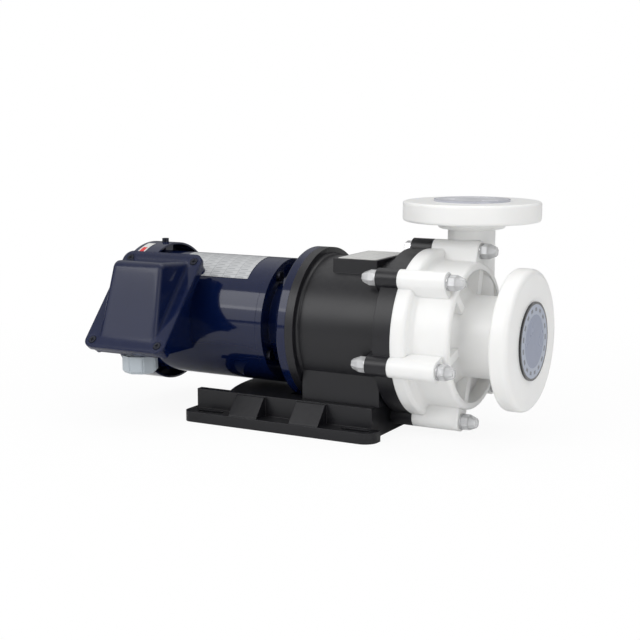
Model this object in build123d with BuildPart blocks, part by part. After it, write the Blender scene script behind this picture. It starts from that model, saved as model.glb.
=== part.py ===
"""Magnetic drive chemical pump with its motor, bracket, base and terminal box.

The frame has its origin at the centre of the base slot pattern, on the underside
of the base. X runs along the shaft towards the suction flange, Z is up, and the
near side, which carries the terminal box, is at negative Y. Sizes are millimetres.
"""

import os
from math import cos, radians, sin, sqrt

from build123d import *

os.makedirs("parts", exist_ok=True)

# Driving dimensions

# Fits and seats
running_gap = 0.05
seat_gap = 0.3
label_gap = 0.1
shaft_height = 100.0

# Stations along the shaft
suction_face_x = 236.0
joint_x = 123.0
rim_front_x = 138.0
barrel_front_x = 178.0
boss_front_x = 172.6
boss_rear_x = 99.6
ring_rear_x = 104.4
rear_ring_front_x = 14.0
motor_face_x = 5.0
motor_flange_rear_x = -5.0
shell_front_x = -38.0
shell_rear_x = -186.0

# Suction and discharge ports
suction_bore = 40.0
suction_flange_diameter = 140.0
discharge_bore = 36.0
discharge_flange_diameter = 140.0
suction_flange_thickness = 19.0
discharge_flange_thickness = 20.0
flange_front_round = 6.0
flange_rear_round = 3.0
suction_neck_radius = 41.0
discharge_x = 153.0
discharge_y = 44.0
discharge_face_height = 130.0
discharge_neck_radius = 24.0
discharge_collar_radius = 34.5
discharge_collar_height = 7.5
discharge_collar_round = 4.0
throat_radius = 17.0
throat_front_x = 148.0
port_cover_radius = 38.5
port_cover_thickness = 2.0

# Casing barrel and rim
rim_radius = 84.0
barrel_radius = 73.0
barrel_round = 3.0
barrel_root_round = 5.0
rim_edge_round = 4.0
chamber_radius = 62.0
chamber_front_x = 159.0
valley_floor_x = 164.0
valley_outer_radius = 66.0
hub_root = 8.0
gusset_thickness = 9.0
gusset_front_x = 175.5

# Casing bolts
bolt_circle_radius = 85.0
bolt_count = 6
first_bolt_angle = 15.0
boss_radius = 10.0
boss_root = 16.0
stud_radius = 4.0
stud_clearance = 0.5
washer_radius = 8.0
washer_thickness = 1.6
nut_flats = 12.0
nut_height = 6.5
nut_cap_radius = 7.8
nut_cap_tip_radius = 4.8
nut_cap_length = 15.0
nut_cap_wall_end = 2.0
lower_thread_depth = 16.0

# Bracket
bracket_rear_radius = 80.0
bracket_body_radius = 72.0
bracket_bore_radius = 54.0
spigot_radius = 55.0
spigot_length = 3.5
can_flange_radius = 76.0
can_flange_thickness = 6.0
pad_half_width = 40.0
pad_rear_x = 39.0
pad_front_x = 88.0
pad_height = 74.0
pedestal_half_width = 61.0
pedestal_rear_x = 15.0
pedestal_front_x = 101.0
pedestal_wall = 9.0
base_top_height = 31.5

# Base
base_half_length = 107.0
base_half_width = 89.0
base_wall_half_width = 69.0
base_wall_thickness = 8.0
base_lip_height = 11.0
base_deck_thickness = 7.0
base_front_corner_radius = 14.0
base_rear_corner_radius = 10.0
lip_rear_overhang = 6.0
deck_rear_x = -71.0
deck_rear_bulge = 11.0
slot_x = 84.0
slot_y = 78.5
slot_width = 9.0
slot_length = 30.0
base_screw_x_rear = 29.0
base_screw_x_front = 79.0
base_screw_y = 46.0
ramp_length = 33.0
ramp_starts = (-57.0, 14.0)

# Can, impeller and inner magnet
can_radius = 38.0
can_wall = 3.0
can_end_x = 51.0
spindle_radius = 7.0
spindle_front_x = 137.0
capsule_radius = 34.0
capsule_rear_x = 72.0
bush_radius = 12.0
impeller_radius = 55.0
back_shroud_x = 129.0
back_shroud_thickness = 3.0
vane_height = 12.0
vane_count = 6
vane_thickness = 3.0
front_shroud_thickness = 3.0
eye_radius = 20.0
eye_ring_radius = 27.0
liner_ring_thickness = 7.0
liner_ring_depth = 4.0

# Outer magnet drive
drive_cup_radius = 50.0
drive_cup_inner = 46.0
drive_magnet_inner = 39.5
drive_cup_front_x = 114.0
drive_cup_base_x = 39.0
drive_cup_base_thickness = 6.0
drive_hub_radius = 17.0
drive_hub_rear_x = 12.0
magnet_count = 8

# Motor
motor_flange_radius = 80.0
shell_radius = 66.0
shell_wall = 4.0
shield_neck_radius = 50.0
shield_ring_rear_x = -31.0
shaft_end_x = 35.0
shaft_radius = 7.0
bearing_bore_radius = 7.5
bearing_outer_radius = 17.5
bearing_width = 11.0
front_bearing_x = -15.0
rear_bearing_x = -189.0
race_thickness = 3.0
ball_radius = 2.0
ball_count = 8
rotor_radius = 34.0
air_gap = 0.4
core_front_x = -65.0
core_rear_x = -145.0
rotor_bore_radius = 10.0
winding_inner = 38.0
winding_outer = 53.0
winding_length = 20.0
tie_circle_radius = 58.0
tie_radius = 3.0
tie_first_angle = 30.0
flange_bolt_circle = 65.0
flange_bolt_radius = 4.0
flange_bolt_first_angle = 45.0
end_bolt_count = 4

# Plates and labels
nameplate_rear_x = -153.0
nameplate_front_x = -58.5
nameplate_thickness = 0.4

# Fan and its cover
cover_front_x = -180.0
cover_rear_x = -215.0
cover_radius = 75.5
cover_wall = 2.0
cover_round = 5.0
cover_screw_x = -193.0
lug_half_width = 7.0
fan_radius = 60.0
fan_front_x = -200.5
fan_rear_x = -210.0
fan_blade_count = 7

# Terminal box
box_tilt = 48.8
box_centre_x = -152.0
box_centre_y = -100.0
box_centre_height = 25.6
plate_width = 99.0
plate_height = 122.0
plate_thickness = 5.0
plate_corner_radius = 10.0
gasket_thickness = 1.5
box_inset = 3.0
box_wall = 3.5
box_flange_thickness = 6.0
body_inset = 15.0
body_toe_inset = 6.0
box_floor_height = -27.5
gland_x = -152.4
gland_y = -107.0

# Derived frames and radii

shaft_origin = (0.0, 0.0, shaft_height)
shaft_axis = Axis(shaft_origin, (1, 0, 0))
shaft_plane = Plane(origin=shaft_origin, x_dir=(1, 0, 0), z_dir=(0, -1, 0))
discharge_spot = (discharge_x, discharge_y)
discharge_axis = Axis((*discharge_spot, 0), (0, 0, 1))
discharge_plane = Plane(origin=(*discharge_spot, 0), x_dir=(1, 0, 0), z_dir=(0, -1, 0))
tilt_sine = sin(radians(box_tilt))
tilt_cosine = cos(radians(box_tilt))
cover_plane = Plane(
    origin=(box_centre_x, box_centre_y, shaft_height + box_centre_height),
    x_dir=(1, 0, 0),
    z_dir=(0, -tilt_sine, tilt_cosine),
)
slope_plane = Plane(
    origin=cover_plane.origin,
    x_dir=(1, 0, 0),
    z_dir=(0, -tilt_cosine, -tilt_sine),
)
suction_radius = suction_bore / 2
discharge_radius = discharge_bore / 2
discharge_face_z = shaft_height + discharge_face_height
flange_rear_x = suction_face_x - suction_flange_thickness
shell_inner = shell_radius - shell_wall


def station(x):
    """Plane square to the shaft at station x, its local axes along Y and Z."""
    return Plane(origin=(x, 0, shaft_height), x_dir=(0, 1, 0), z_dir=(1, 0, 0))


def disc(start, end, outer, inner=0.0, shift=0.0, mode=Mode.ADD):
    """Cylinder or ring about the shaft from one station to another."""
    with BuildSketch(station(start)) as face:
        with Locations((shift, 0)):
            Circle(outer)
            if inner > 0:
                Circle(inner, mode=Mode.SUBTRACT)
    extrude(face.sketch, amount=end - start, mode=mode)


def turned(points, rounds=(), mode=Mode.ADD):
    """Solid turned about the shaft from (station, radius) corners."""
    with BuildSketch(shaft_plane) as profile:
        with BuildLine():
            Polyline(*points, close=True)
        make_face()
        for corner, size in rounds:
            fillet(profile.vertices().sort_by_distance((*corner, 0))[0], radius=size)
    revolve(profile.sketch, axis=shaft_axis, mode=mode)


def rods(start, end, radius, pitch, count, first, mode=Mode.ADD):
    """Round rods parallel to the shaft on a pitch circle."""
    with BuildSketch(station(start)) as face:
        with PolarLocations(pitch, count, first):
            Circle(radius)
    extrude(face.sketch, amount=end - start, mode=mode)


def hex_rods(start, end, flats, pitch, count, first, mode=Mode.ADD):
    """Hexagonal rods parallel to the shaft on a pitch circle."""
    with BuildSketch(station(start)) as face:
        with PolarLocations(pitch, count, first):
            RegularPolygon(flats / 2, 6, major_radius=False)
    extrude(face.sketch, amount=end - start, mode=mode)


def block(x_range, y_range, z_range, mode=Mode.ADD):
    """Box between two corners."""
    size = [high - low for low, high in (x_range, y_range, z_range)]
    centre = [(high + low) / 2 for low, high in (x_range, y_range, z_range)]
    with Locations(tuple(centre)):
        Box(*size, mode=mode)


def upright(radius, centre, z_range, mode=Mode.ADD):
    """Upright cylinder through a point in plan."""
    low, high = z_range
    with BuildSketch(Plane.XY.offset(low)) as face:
        with Locations(centre):
            Circle(radius)
    extrude(face.sketch, amount=high - low, mode=mode)


def slanted(radius, spots, start, end, mode=Mode.ADD):
    """Rods square to the terminal box cover between two heights above its face."""
    with BuildSketch(cover_plane.offset(start)) as face:
        with Locations(*spots):
            Circle(radius)
    extrude(face.sketch, amount=end - start, mode=mode)


# White front casing

with BuildPart() as front_casing:
    turned(
        (
            (joint_x, 0),
            (joint_x, rim_radius),
            (rim_front_x, rim_radius),
            (rim_front_x, barrel_radius),
            (barrel_front_x, barrel_radius),
            (barrel_front_x, 0),
        ),
        rounds=(
            ((rim_front_x, rim_radius), rim_edge_round),
            ((rim_front_x, barrel_radius), barrel_root_round),
            ((barrel_front_x, barrel_radius), barrel_round),
        ),
    )
    with BuildSketch(station(joint_x)) as boss_face:
        with PolarLocations(bolt_circle_radius, bolt_count, first_bolt_angle):
            Circle(boss_radius)
            Rectangle(boss_root, 2 * boss_radius, align=(Align.MAX, Align.CENTER))
    extrude(boss_face.sketch, amount=boss_front_x - joint_x)
    disc(valley_floor_x, barrel_front_x, valley_outer_radius, mode=Mode.SUBTRACT)
    with BuildSketch(station(valley_floor_x)) as gusset_face:
        with PolarLocations(0, bolt_count, first_bolt_angle):
            Rectangle(
                valley_outer_radius + barrel_round,
                gusset_thickness,
                align=(Align.MIN, Align.CENTER),
            )
    extrude(gusset_face.sketch, amount=gusset_front_x - valley_floor_x)
    hub_foot_x = valley_floor_x + hub_root
    turned(
        (
            (valley_floor_x, 0),
            (valley_floor_x, suction_neck_radius + hub_root),
            (hub_foot_x, suction_neck_radius),
            (flange_rear_x, suction_neck_radius),
            (flange_rear_x, 0),
        ),
        rounds=(((hub_foot_x, suction_neck_radius), hub_root),),
    )
    turned(
        (
            (flange_rear_x, 0),
            (flange_rear_x, suction_flange_diameter / 2),
            (suction_face_x, suction_flange_diameter / 2),
            (suction_face_x, 0),
        ),
        rounds=(
            ((flange_rear_x, suction_flange_diameter / 2), flange_rear_round),
            ((suction_face_x, suction_flange_diameter / 2), flange_front_round),
        ),
    )
    discharge_flange_base = discharge_face_z - discharge_flange_thickness
    discharge_collar_base = discharge_flange_base - discharge_collar_height
    with BuildSketch(discharge_plane) as outlet_profile:
        with BuildLine():
            Polyline(
                (0, shaft_height),
                (discharge_neck_radius, shaft_height),
                (discharge_neck_radius, discharge_collar_base),
                (discharge_collar_radius, discharge_collar_base),
                (discharge_collar_radius, discharge_flange_base),
                (discharge_flange_diameter / 2, discharge_flange_base),
                (discharge_flange_diameter / 2, discharge_face_z),
                (0, discharge_face_z),
                close=True,
            )
        make_face()
        for corner, size in (
            ((discharge_collar_radius, discharge_collar_base), discharge_collar_round),
            ((discharge_flange_diameter / 2, discharge_flange_base), flange_rear_round),
            ((discharge_flange_diameter / 2, discharge_face_z), flange_rear_round),
        ):
            fillet(
                outlet_profile.vertices().sort_by_distance((*corner, 0))[0],
                radius=size,
            )
    revolve(outlet_profile.sketch, axis=discharge_axis)
    # pumping chamber, tangential outlet throat and the two port bores
    disc(joint_x, chamber_front_x, chamber_radius, mode=Mode.SUBTRACT)
    throat_floor_z = shaft_height + discharge_radius
    throat_top_z = shaft_height + valley_outer_radius
    with BuildSketch(Plane.XY.offset(throat_floor_z)) as throat_face:
        with Locations(discharge_spot):
            Circle(throat_radius)
        with Locations((throat_front_x, discharge_y)):
            Rectangle(
                2 * throat_radius,
                2 * throat_radius,
                align=(Align.MIN, Align.CENTER),
                mode=Mode.SUBTRACT,
            )
    extrude(
        throat_face.sketch,
        amount=throat_top_z - throat_floor_z,
        mode=Mode.SUBTRACT,
    )
    upright(
        discharge_radius,
        discharge_spot,
        (throat_top_z, discharge_face_z),
        mode=Mode.SUBTRACT,
    )
    disc(chamber_front_x, suction_face_x, suction_radius, mode=Mode.SUBTRACT)
    liner_bore_radius = eye_ring_radius + 1
    disc(
        chamber_front_x,
        chamber_front_x + liner_ring_depth,
        liner_bore_radius,
        mode=Mode.SUBTRACT,
    )
    # seal ring groove and bolt holes
    ring_section = 1.75
    ring_pitch = chamber_radius + 3 * ring_section + 1
    disc(
        joint_x,
        joint_x + 2 * ring_section,
        ring_pitch + ring_section,
        ring_pitch - ring_section,
        mode=Mode.SUBTRACT,
    )
    rods(
        joint_x,
        boss_front_x,
        stud_radius + stud_clearance,
        bolt_circle_radius,
        bolt_count,
        first_bolt_angle,
        mode=Mode.SUBTRACT,
    )
front_casing.part.label = "front_casing"
export_step(front_casing.part, "parts/front_casing.step")

# Liner ring in the casing ahead of the impeller eye

liner_rear_x = chamber_front_x + liner_ring_depth - liner_ring_thickness
with BuildPart() as liner_ring:
    disc(
        liner_rear_x,
        chamber_front_x + liner_ring_depth,
        liner_bore_radius,
        suction_radius + 0.5,
    )
liner_ring.part.label = "liner_ring"
export_step(liner_ring.part, "parts/liner_ring.step")

# Seal ring between casing and can

with BuildPart() as casing_seal_ring:
    with BuildSketch(shaft_plane) as seal_section:
        with Locations((joint_x + ring_section, ring_pitch)):
            Circle(ring_section)
    revolve(seal_section.sketch, axis=shaft_axis)
casing_seal_ring.part.label = "casing_seal_ring"
export_step(casing_seal_ring.part, "parts/casing_seal_ring.step")

# Port covers

with BuildPart() as suction_port_cover:
    disc(suction_face_x, suction_face_x + port_cover_thickness, port_cover_radius)
suction_port_cover.part.label = "suction_port_cover"
export_step(suction_port_cover.part, "parts/suction_port_cover.step")

with BuildPart() as discharge_port_cover:
    upright(
        port_cover_radius,
        discharge_spot,
        (discharge_face_z, discharge_face_z + port_cover_thickness),
    )
discharge_port_cover.part.label = "discharge_port_cover"
export_step(discharge_port_cover.part, "parts/discharge_port_cover.step")

# Containment can with its spindle socket

can_inner = can_radius - can_wall
can_flange_rear_x = joint_x - can_flange_thickness
can_end_thickness = 4.0
can_floor_x = can_end_x + can_end_thickness
socket_radius = 13.0
socket_front_x = can_floor_x + 12.0
with BuildPart() as containment_can:
    disc(can_flange_rear_x, joint_x, can_flange_radius)
    disc(can_end_x, can_flange_rear_x, can_radius)
    disc(can_floor_x, joint_x, can_inner, mode=Mode.SUBTRACT)
    disc(can_floor_x, socket_front_x, socket_radius)
    disc(can_floor_x, socket_front_x, spindle_radius + running_gap, mode=Mode.SUBTRACT)
containment_can.part.label = "containment_can"
export_step(containment_can.part, "parts/containment_can.step")

# Fixed ceramic spindle

with BuildPart() as spindle:
    turned(
        (
            (can_floor_x, 0),
            (can_floor_x, spindle_radius),
            (spindle_front_x, spindle_radius),
            (spindle_front_x, 0),
        ),
        rounds=(((spindle_front_x, spindle_radius), 2.0),),
    )
spindle.part.label = "spindle"
export_step(spindle.part, "parts/spindle.step")

# Rear thrust ring on the spindle socket

thrust_thickness = 3.5
with BuildPart() as rear_thrust_ring:
    disc(
        socket_front_x,
        socket_front_x + thrust_thickness,
        bush_radius - 1,
        spindle_radius + running_gap,
    )
rear_thrust_ring.part.label = "rear_thrust_ring"
export_step(rear_thrust_ring.part, "parts/rear_thrust_ring.step")

# Bearing bush

bush_rear_x = socket_front_x + thrust_thickness + 0.3
bush_front_x = back_shroud_x
with BuildPart() as bearing_bush:
    disc(bush_rear_x, bush_front_x, bush_radius, spindle_radius + running_gap)
bearing_bush.part.label = "bearing_bush"
export_step(bearing_bush.part, "parts/bearing_bush.step")

# Inner magnet capsule and its magnets

inner_magnet_inner = 24.0
inner_magnet_outer = 31.0
capsule_front_x = back_shroud_x - 11.0
magnet_rear_x = capsule_rear_x + 6.0
with BuildPart() as magnet_capsule:
    disc(capsule_rear_x, capsule_front_x, capsule_radius, bush_radius)
    disc(
        magnet_rear_x,
        capsule_front_x,
        inner_magnet_outer,
        inner_magnet_inner,
        mode=Mode.SUBTRACT,
    )
magnet_capsule.part.label = "magnet_capsule"
export_step(magnet_capsule.part, "parts/magnet_capsule.step")


def magnet_ring(start, end, outer, inner):
    """Arc magnets round the shaft with a narrow gap between neighbours."""
    disc(start, end, outer, inner)
    with BuildSketch(station(start)) as gap_face:
        with PolarLocations(0, magnet_count):
            Rectangle(outer + 1, 0.8, align=(Align.MIN, Align.CENTER))
    extrude(gap_face.sketch, amount=end - start, mode=Mode.SUBTRACT)


with BuildPart() as inner_magnets:
    magnet_ring(magnet_rear_x, capsule_front_x, inner_magnet_outer, inner_magnet_inner)
inner_magnets.part.label = "inner_magnets"
export_step(inner_magnets.part, "parts/inner_magnets.step")

# Closed impeller

vane_start_x = back_shroud_x + back_shroud_thickness
front_shroud_x = vane_start_x + vane_height
eye_collar_x = front_shroud_x + front_shroud_thickness
mouth_ring_x = eye_collar_x + 4.0
impeller_hub_radius = 33.0
vane_inner_radius = 21.0
vane_sweep = 38.0
with BuildPart() as impeller:
    disc(capsule_front_x, back_shroud_x, impeller_hub_radius, bush_radius)
    disc(back_shroud_x, vane_start_x, impeller_radius, spindle_radius + 3)
    with BuildSketch(station(vane_start_x)) as vane_face:
        with PolarLocations(0, vane_count):
            with BuildLine() as vane_line:
                SagittaArc(
                    (vane_inner_radius, 0),
                    (
                        (impeller_radius - 1) * cos(radians(vane_sweep)),
                        (impeller_radius - 1) * sin(radians(vane_sweep)),
                    ),
                    -5.0,
                )
            trace(vane_line.line, line_width=vane_thickness)
    extrude(vane_face.sketch, amount=vane_height)
    disc(front_shroud_x, eye_collar_x, impeller_radius, eye_radius)
    disc(eye_collar_x, mouth_ring_x, eye_ring_radius, eye_radius)
impeller.part.label = "impeller"
export_step(impeller.part, "parts/impeller.step")

# Mouth ring on the impeller eye

mouth_ring_front_x = liner_rear_x - 0.4
with BuildPart() as mouth_ring:
    disc(mouth_ring_x, mouth_ring_front_x, eye_ring_radius, eye_radius + 1)
mouth_ring.part.label = "mouth_ring"
export_step(mouth_ring.part, "parts/mouth_ring.step")

# Outer magnet cup and its magnets

drive_cup_floor_x = drive_cup_base_x + drive_cup_base_thickness
drive_magnet_rear_x = magnet_rear_x
drive_magnet_front_x = drive_cup_front_x - 2.0
key_width = 5.0
key_front_x = shaft_end_x - 4.0
key_rear_x = key_front_x - 16.0
key_top = shaft_radius + 2.0
key_bottom = shaft_radius - 3.0
set_screw_x = key_rear_x + 8.0
set_screw_radius = 2.5
with BuildPart() as drive_magnet_cup:
    disc(drive_hub_rear_x, drive_cup_floor_x, drive_hub_radius)
    disc(drive_cup_base_x, drive_cup_front_x, drive_cup_radius)
    disc(drive_cup_floor_x, drive_cup_front_x, drive_cup_inner, mode=Mode.SUBTRACT)
    disc(
        drive_hub_rear_x,
        drive_cup_base_x + 1,
        shaft_radius + running_gap,
        mode=Mode.SUBTRACT,
    )
    block(
        (drive_hub_rear_x, key_front_x),
        (-key_width / 2, key_width / 2),
        (shaft_height, shaft_height + key_top),
        mode=Mode.SUBTRACT,
    )
    with BuildSketch(Plane.XY.offset(shaft_height - drive_hub_radius)) as screw_face:
        with Locations((set_screw_x, 0)):
            Circle(set_screw_radius)
    extrude(
        screw_face.sketch,
        amount=drive_hub_radius - shaft_radius,
        mode=Mode.SUBTRACT,
    )
drive_magnet_cup.part.label = "drive_magnet_cup"
export_step(drive_magnet_cup.part, "parts/drive_magnet_cup.step")

with BuildPart() as drive_magnets:
    magnet_ring(
        drive_magnet_rear_x, drive_magnet_front_x, drive_cup_inner, drive_magnet_inner
    )
drive_magnets.part.label = "drive_magnets"
export_step(drive_magnets.part, "parts/drive_magnets.step")

with BuildPart() as drive_key:
    block(
        (key_rear_x, key_front_x),
        (-key_width / 2, key_width / 2),
        (shaft_height + key_bottom, shaft_height + key_top),
    )
drive_key.part.label = "drive_key"
export_step(drive_key.part, "parts/drive_key.step")

with BuildPart() as hub_set_screw:
    upright(
        set_screw_radius,
        (set_screw_x, 0),
        (shaft_height - drive_hub_radius + 1, shaft_height - shaft_radius),
    )
    with BuildSketch(Plane.XY.offset(shaft_height - drive_hub_radius + 1)) as socket:
        with Locations((set_screw_x, 0)):
            RegularPolygon(1.25, 6, major_radius=False)
    extrude(socket.sketch, amount=2.5, mode=Mode.SUBTRACT)
hub_set_screw.part.label = "hub_set_screw"
export_step(hub_set_screw.part, "parts/hub_set_screw.step")

# Black bracket with its pedestal

lower_bolt_angles = (first_bolt_angle + 240.0, first_bolt_angle + 300.0)
upper_bolt_angles = tuple(first_bolt_angle + 60.0 * step for step in range(4))
bare_nut_angle = upper_bolt_angles[1]
foot_boss_radius = 9.0
base_screw_radius = 3.0
foot_spots = tuple(
    (x, y)
    for x in (base_screw_x_rear, base_screw_x_front)
    for y in (-base_screw_y, base_screw_y)
)
with BuildPart() as bracket:
    block(
        (pedestal_rear_x, pedestal_front_x),
        (-pedestal_half_width, pedestal_half_width),
        (base_top_height, shaft_height),
    )
    block(
        (pedestal_rear_x + pedestal_wall, pedestal_front_x - pedestal_wall),
        (-pedestal_half_width + pedestal_wall, pedestal_half_width - pedestal_wall),
        (base_top_height, shaft_height),
        mode=Mode.SUBTRACT,
    )
    for spot in foot_spots:
        upright(foot_boss_radius, spot, (base_top_height, shaft_height))
    turned(
        (
            (motor_face_x, 0),
            (motor_face_x, bracket_rear_radius),
            (rear_ring_front_x, bracket_rear_radius),
            (rear_ring_front_x, bracket_body_radius),
            (ring_rear_x, bracket_body_radius),
            (ring_rear_x, rim_radius),
            (joint_x, rim_radius),
            (joint_x, 0),
        ),
        rounds=(
            ((rear_ring_front_x, bracket_body_radius), 3.0),
            ((ring_rear_x, bracket_body_radius), 3.0),
        ),
    )
    with BuildSketch(station(boss_rear_x)) as ear_face:
        with PolarLocations(bolt_circle_radius, bolt_count, first_bolt_angle):
            Circle(boss_radius)
            Rectangle(boss_root, 2 * boss_radius, align=(Align.MAX, Align.CENTER))
    extrude(ear_face.sketch, amount=joint_x - boss_rear_x)
    block(
        (pad_rear_x, pad_front_x),
        (-pad_half_width, pad_half_width),
        (shaft_height, shaft_height + pad_height),
    )
    disc(
        motor_face_x,
        motor_face_x + 2 * spigot_length,
        spigot_radius + running_gap,
        mode=Mode.SUBTRACT,
    )
    disc(motor_face_x, joint_x, bracket_bore_radius, mode=Mode.SUBTRACT)
    disc(
        can_flange_rear_x,
        joint_x,
        can_flange_radius + running_gap,
        mode=Mode.SUBTRACT,
    )
    for angle in upper_bolt_angles:
        rods(
            boss_rear_x,
            joint_x,
            stud_radius + stud_clearance,
            bolt_circle_radius,
            1,
            angle,
            mode=Mode.SUBTRACT,
        )
    for angle in lower_bolt_angles:
        rods(
            joint_x - lower_thread_depth,
            joint_x,
            stud_radius,
            bolt_circle_radius,
            1,
            angle,
            mode=Mode.SUBTRACT,
        )
    flange_thread_depth = 18.0
    rods(
        motor_face_x,
        motor_face_x + flange_thread_depth,
        flange_bolt_radius,
        flange_bolt_circle,
        end_bolt_count,
        flange_bolt_first_angle,
        mode=Mode.SUBTRACT,
    )
    foot_thread_depth = 14.0
    for spot in foot_spots:
        upright(
            base_screw_radius,
            spot,
            (base_top_height, base_top_height + foot_thread_depth),
            mode=Mode.SUBTRACT,
        )
bracket.part.label = "bracket"
export_step(bracket.part, "parts/bracket.step")

# Nameplate on the bracket pad

pad_plate_margin = 3.0
pad_plate_thickness = 0.5
with BuildPart() as bracket_nameplate:
    block(
        (pad_rear_x + pad_plate_margin, pad_front_x - pad_plate_margin),
        (-pad_half_width + pad_plate_margin, pad_half_width - pad_plate_margin),
        (
            shaft_height + pad_height,
            shaft_height + pad_height + pad_plate_thickness,
        ),
    )
    fillet(bracket_nameplate.edges().filter_by(Axis.Z), radius=3.0)
bracket_nameplate.part.label = "bracket_nameplate"
export_step(bracket_nameplate.part, "parts/bracket_nameplate.step")

# Base with two walls, a deck, outer lips and ramp ribs

slot_spots = tuple((x, y) for x in (-slot_x, slot_x) for y in (-slot_y, slot_y))
inner_half_width = base_wall_half_width - base_wall_thickness
ring_relief = 2.5
cross_rib_x = (-8.0, 22.0)
with BuildPart() as base:
    with BuildSketch() as lip_outline:
        with Locations((-lip_rear_overhang / 2, 0)):
            Rectangle(2 * base_half_length + lip_rear_overhang, 2 * base_half_width)
        fillet(
            lip_outline.vertices().group_by(Axis.X)[0],
            radius=base_rear_corner_radius,
        )
        fillet(
            lip_outline.vertices().group_by(Axis.X)[-1],
            radius=base_front_corner_radius,
        )
    extrude(lip_outline.sketch, amount=base_lip_height)
    block(
        (-base_half_length, base_half_length),
        (-base_wall_half_width, base_wall_half_width),
        (0, base_top_height),
    )
    for start in ramp_starts:
        for side in (-1, 1):
            with BuildSketch(Plane.YZ.offset(start)) as ramp_face:
                with BuildLine():
                    Polyline(
                        (side * base_wall_half_width, base_lip_height),
                        (side * base_wall_half_width, base_top_height - 1),
                        (side * (base_wall_half_width + 3), base_top_height - 1),
                        (side * (base_half_width - 1), base_lip_height + 1),
                        (side * (base_half_width - 1), base_lip_height),
                        close=True,
                    )
                make_face()
            extrude(ramp_face.sketch, amount=ramp_length)
    # hollow under the deck, with a cross rib left below the flange relief
    for span in (
        (-base_half_length + base_wall_thickness, cross_rib_x[0]),
        (cross_rib_x[1], boss_rear_x - ring_relief - base_wall_thickness),
    ):
        block(
            span,
            (-inner_half_width, inner_half_width),
            (0, base_top_height - base_deck_thickness),
            mode=Mode.SUBTRACT,
        )
    # open rear end with a bowed deck edge
    with BuildSketch() as opening:
        with BuildLine():
            Polyline(
                (deck_rear_x, inner_half_width),
                (-base_half_length - 1, inner_half_width),
                (-base_half_length - 1, -inner_half_width),
                (deck_rear_x, -inner_half_width),
            )
            ThreePointArc(
                (deck_rear_x, -inner_half_width),
                (deck_rear_x - deck_rear_bulge, 0),
                (deck_rear_x, inner_half_width),
            )
        make_face()
    extrude(opening.sketch, amount=base_top_height, mode=Mode.SUBTRACT)
    disc(
        motor_flange_rear_x - ring_relief,
        rear_ring_front_x + ring_relief,
        bracket_rear_radius + ring_relief,
        mode=Mode.SUBTRACT,
    )
    disc(
        pedestal_rear_x,
        pedestal_front_x,
        bracket_body_radius + seat_gap,
        mode=Mode.SUBTRACT,
    )
    # room for the front ring and its lower bolt bosses
    block(
        (boss_rear_x - ring_relief, base_half_length),
        (-base_wall_half_width, base_wall_half_width),
        (0, base_top_height),
        mode=Mode.SUBTRACT,
    )
    with BuildSketch() as slots:
        with Locations(*slot_spots):
            SlotOverall(slot_length, slot_width)
    extrude(slots.sketch, amount=base_lip_height, mode=Mode.SUBTRACT)
    for spot in foot_spots:
        upright(
            foot_boss_radius,
            spot,
            (base_lip_height, base_top_height - base_deck_thickness),
        )
        upright(
            base_screw_radius + stud_clearance,
            spot,
            (0, base_top_height),
            mode=Mode.SUBTRACT,
        )
base.part.label = "base"
export_step(base.part, "parts/base.step")

# Screws that hold the pedestal to the base from below

base_head_radius = 5.0
base_head_height = 6.0
with BuildPart() as base_screws:
    for spot in foot_spots:
        upright(
            base_head_radius,
            spot,
            (base_lip_height - base_head_height, base_lip_height),
        )
        upright(
            base_screw_radius,
            spot,
            (base_lip_height, base_top_height + foot_thread_depth - 2),
        )
    with BuildSketch(Plane.XY.offset(base_lip_height - base_head_height)) as sockets:
        with Locations(*foot_spots):
            RegularPolygon(2.5, 6, major_radius=False)
    extrude(sockets.sketch, amount=3.0, mode=Mode.SUBTRACT)
base_screws.part.label = "base_screws"
export_step(base_screws.part, "parts/base_screws.step")

# Casing studs, washers, nuts and translucent nut caps

stud_overhang = washer_thickness + nut_height + 1.5
stud_rear_x = boss_rear_x - stud_overhang
stud_front_x = boss_front_x + stud_overhang
lower_stud_rear_x = joint_x - lower_thread_depth + 1
with BuildPart() as casing_studs:
    for angle in upper_bolt_angles:
        rods(stud_rear_x, stud_front_x, stud_radius, bolt_circle_radius, 1, angle)
    for angle in lower_bolt_angles:
        rods(lower_stud_rear_x, stud_front_x, stud_radius, bolt_circle_radius, 1, angle)
casing_studs.part.label = "casing_studs"
export_step(casing_studs.part, "parts/casing_studs.step")

rear_washer_x = boss_rear_x - washer_thickness
front_washer_x = boss_front_x + washer_thickness
with BuildPart() as casing_washers:
    rods(
        boss_front_x,
        front_washer_x,
        washer_radius,
        bolt_circle_radius,
        bolt_count,
        first_bolt_angle,
    )
    for angle in upper_bolt_angles:
        rods(rear_washer_x, boss_rear_x, washer_radius, bolt_circle_radius, 1, angle)
    rods(
        stud_rear_x,
        stud_front_x,
        stud_radius + running_gap,
        bolt_circle_radius,
        bolt_count,
        first_bolt_angle,
        mode=Mode.SUBTRACT,
    )
casing_washers.part.label = "casing_washers"
export_step(casing_washers.part, "parts/casing_washers.step")

rear_nut_x = rear_washer_x - nut_height
front_nut_x = front_washer_x + nut_height
with BuildPart() as casing_nuts:
    hex_rods(
        front_washer_x,
        front_nut_x,
        nut_flats,
        bolt_circle_radius,
        bolt_count,
        first_bolt_angle,
    )
    for angle in upper_bolt_angles:
        hex_rods(
            rear_nut_x, rear_washer_x, nut_flats, bolt_circle_radius, 1, angle
        )
    rods(
        stud_rear_x,
        stud_front_x,
        stud_radius + running_gap,
        bolt_circle_radius,
        bolt_count,
        first_bolt_angle,
        mode=Mode.SUBTRACT,
    )
casing_nuts.part.label = "casing_nuts"
export_step(casing_nuts.part, "parts/casing_nuts.step")


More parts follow.
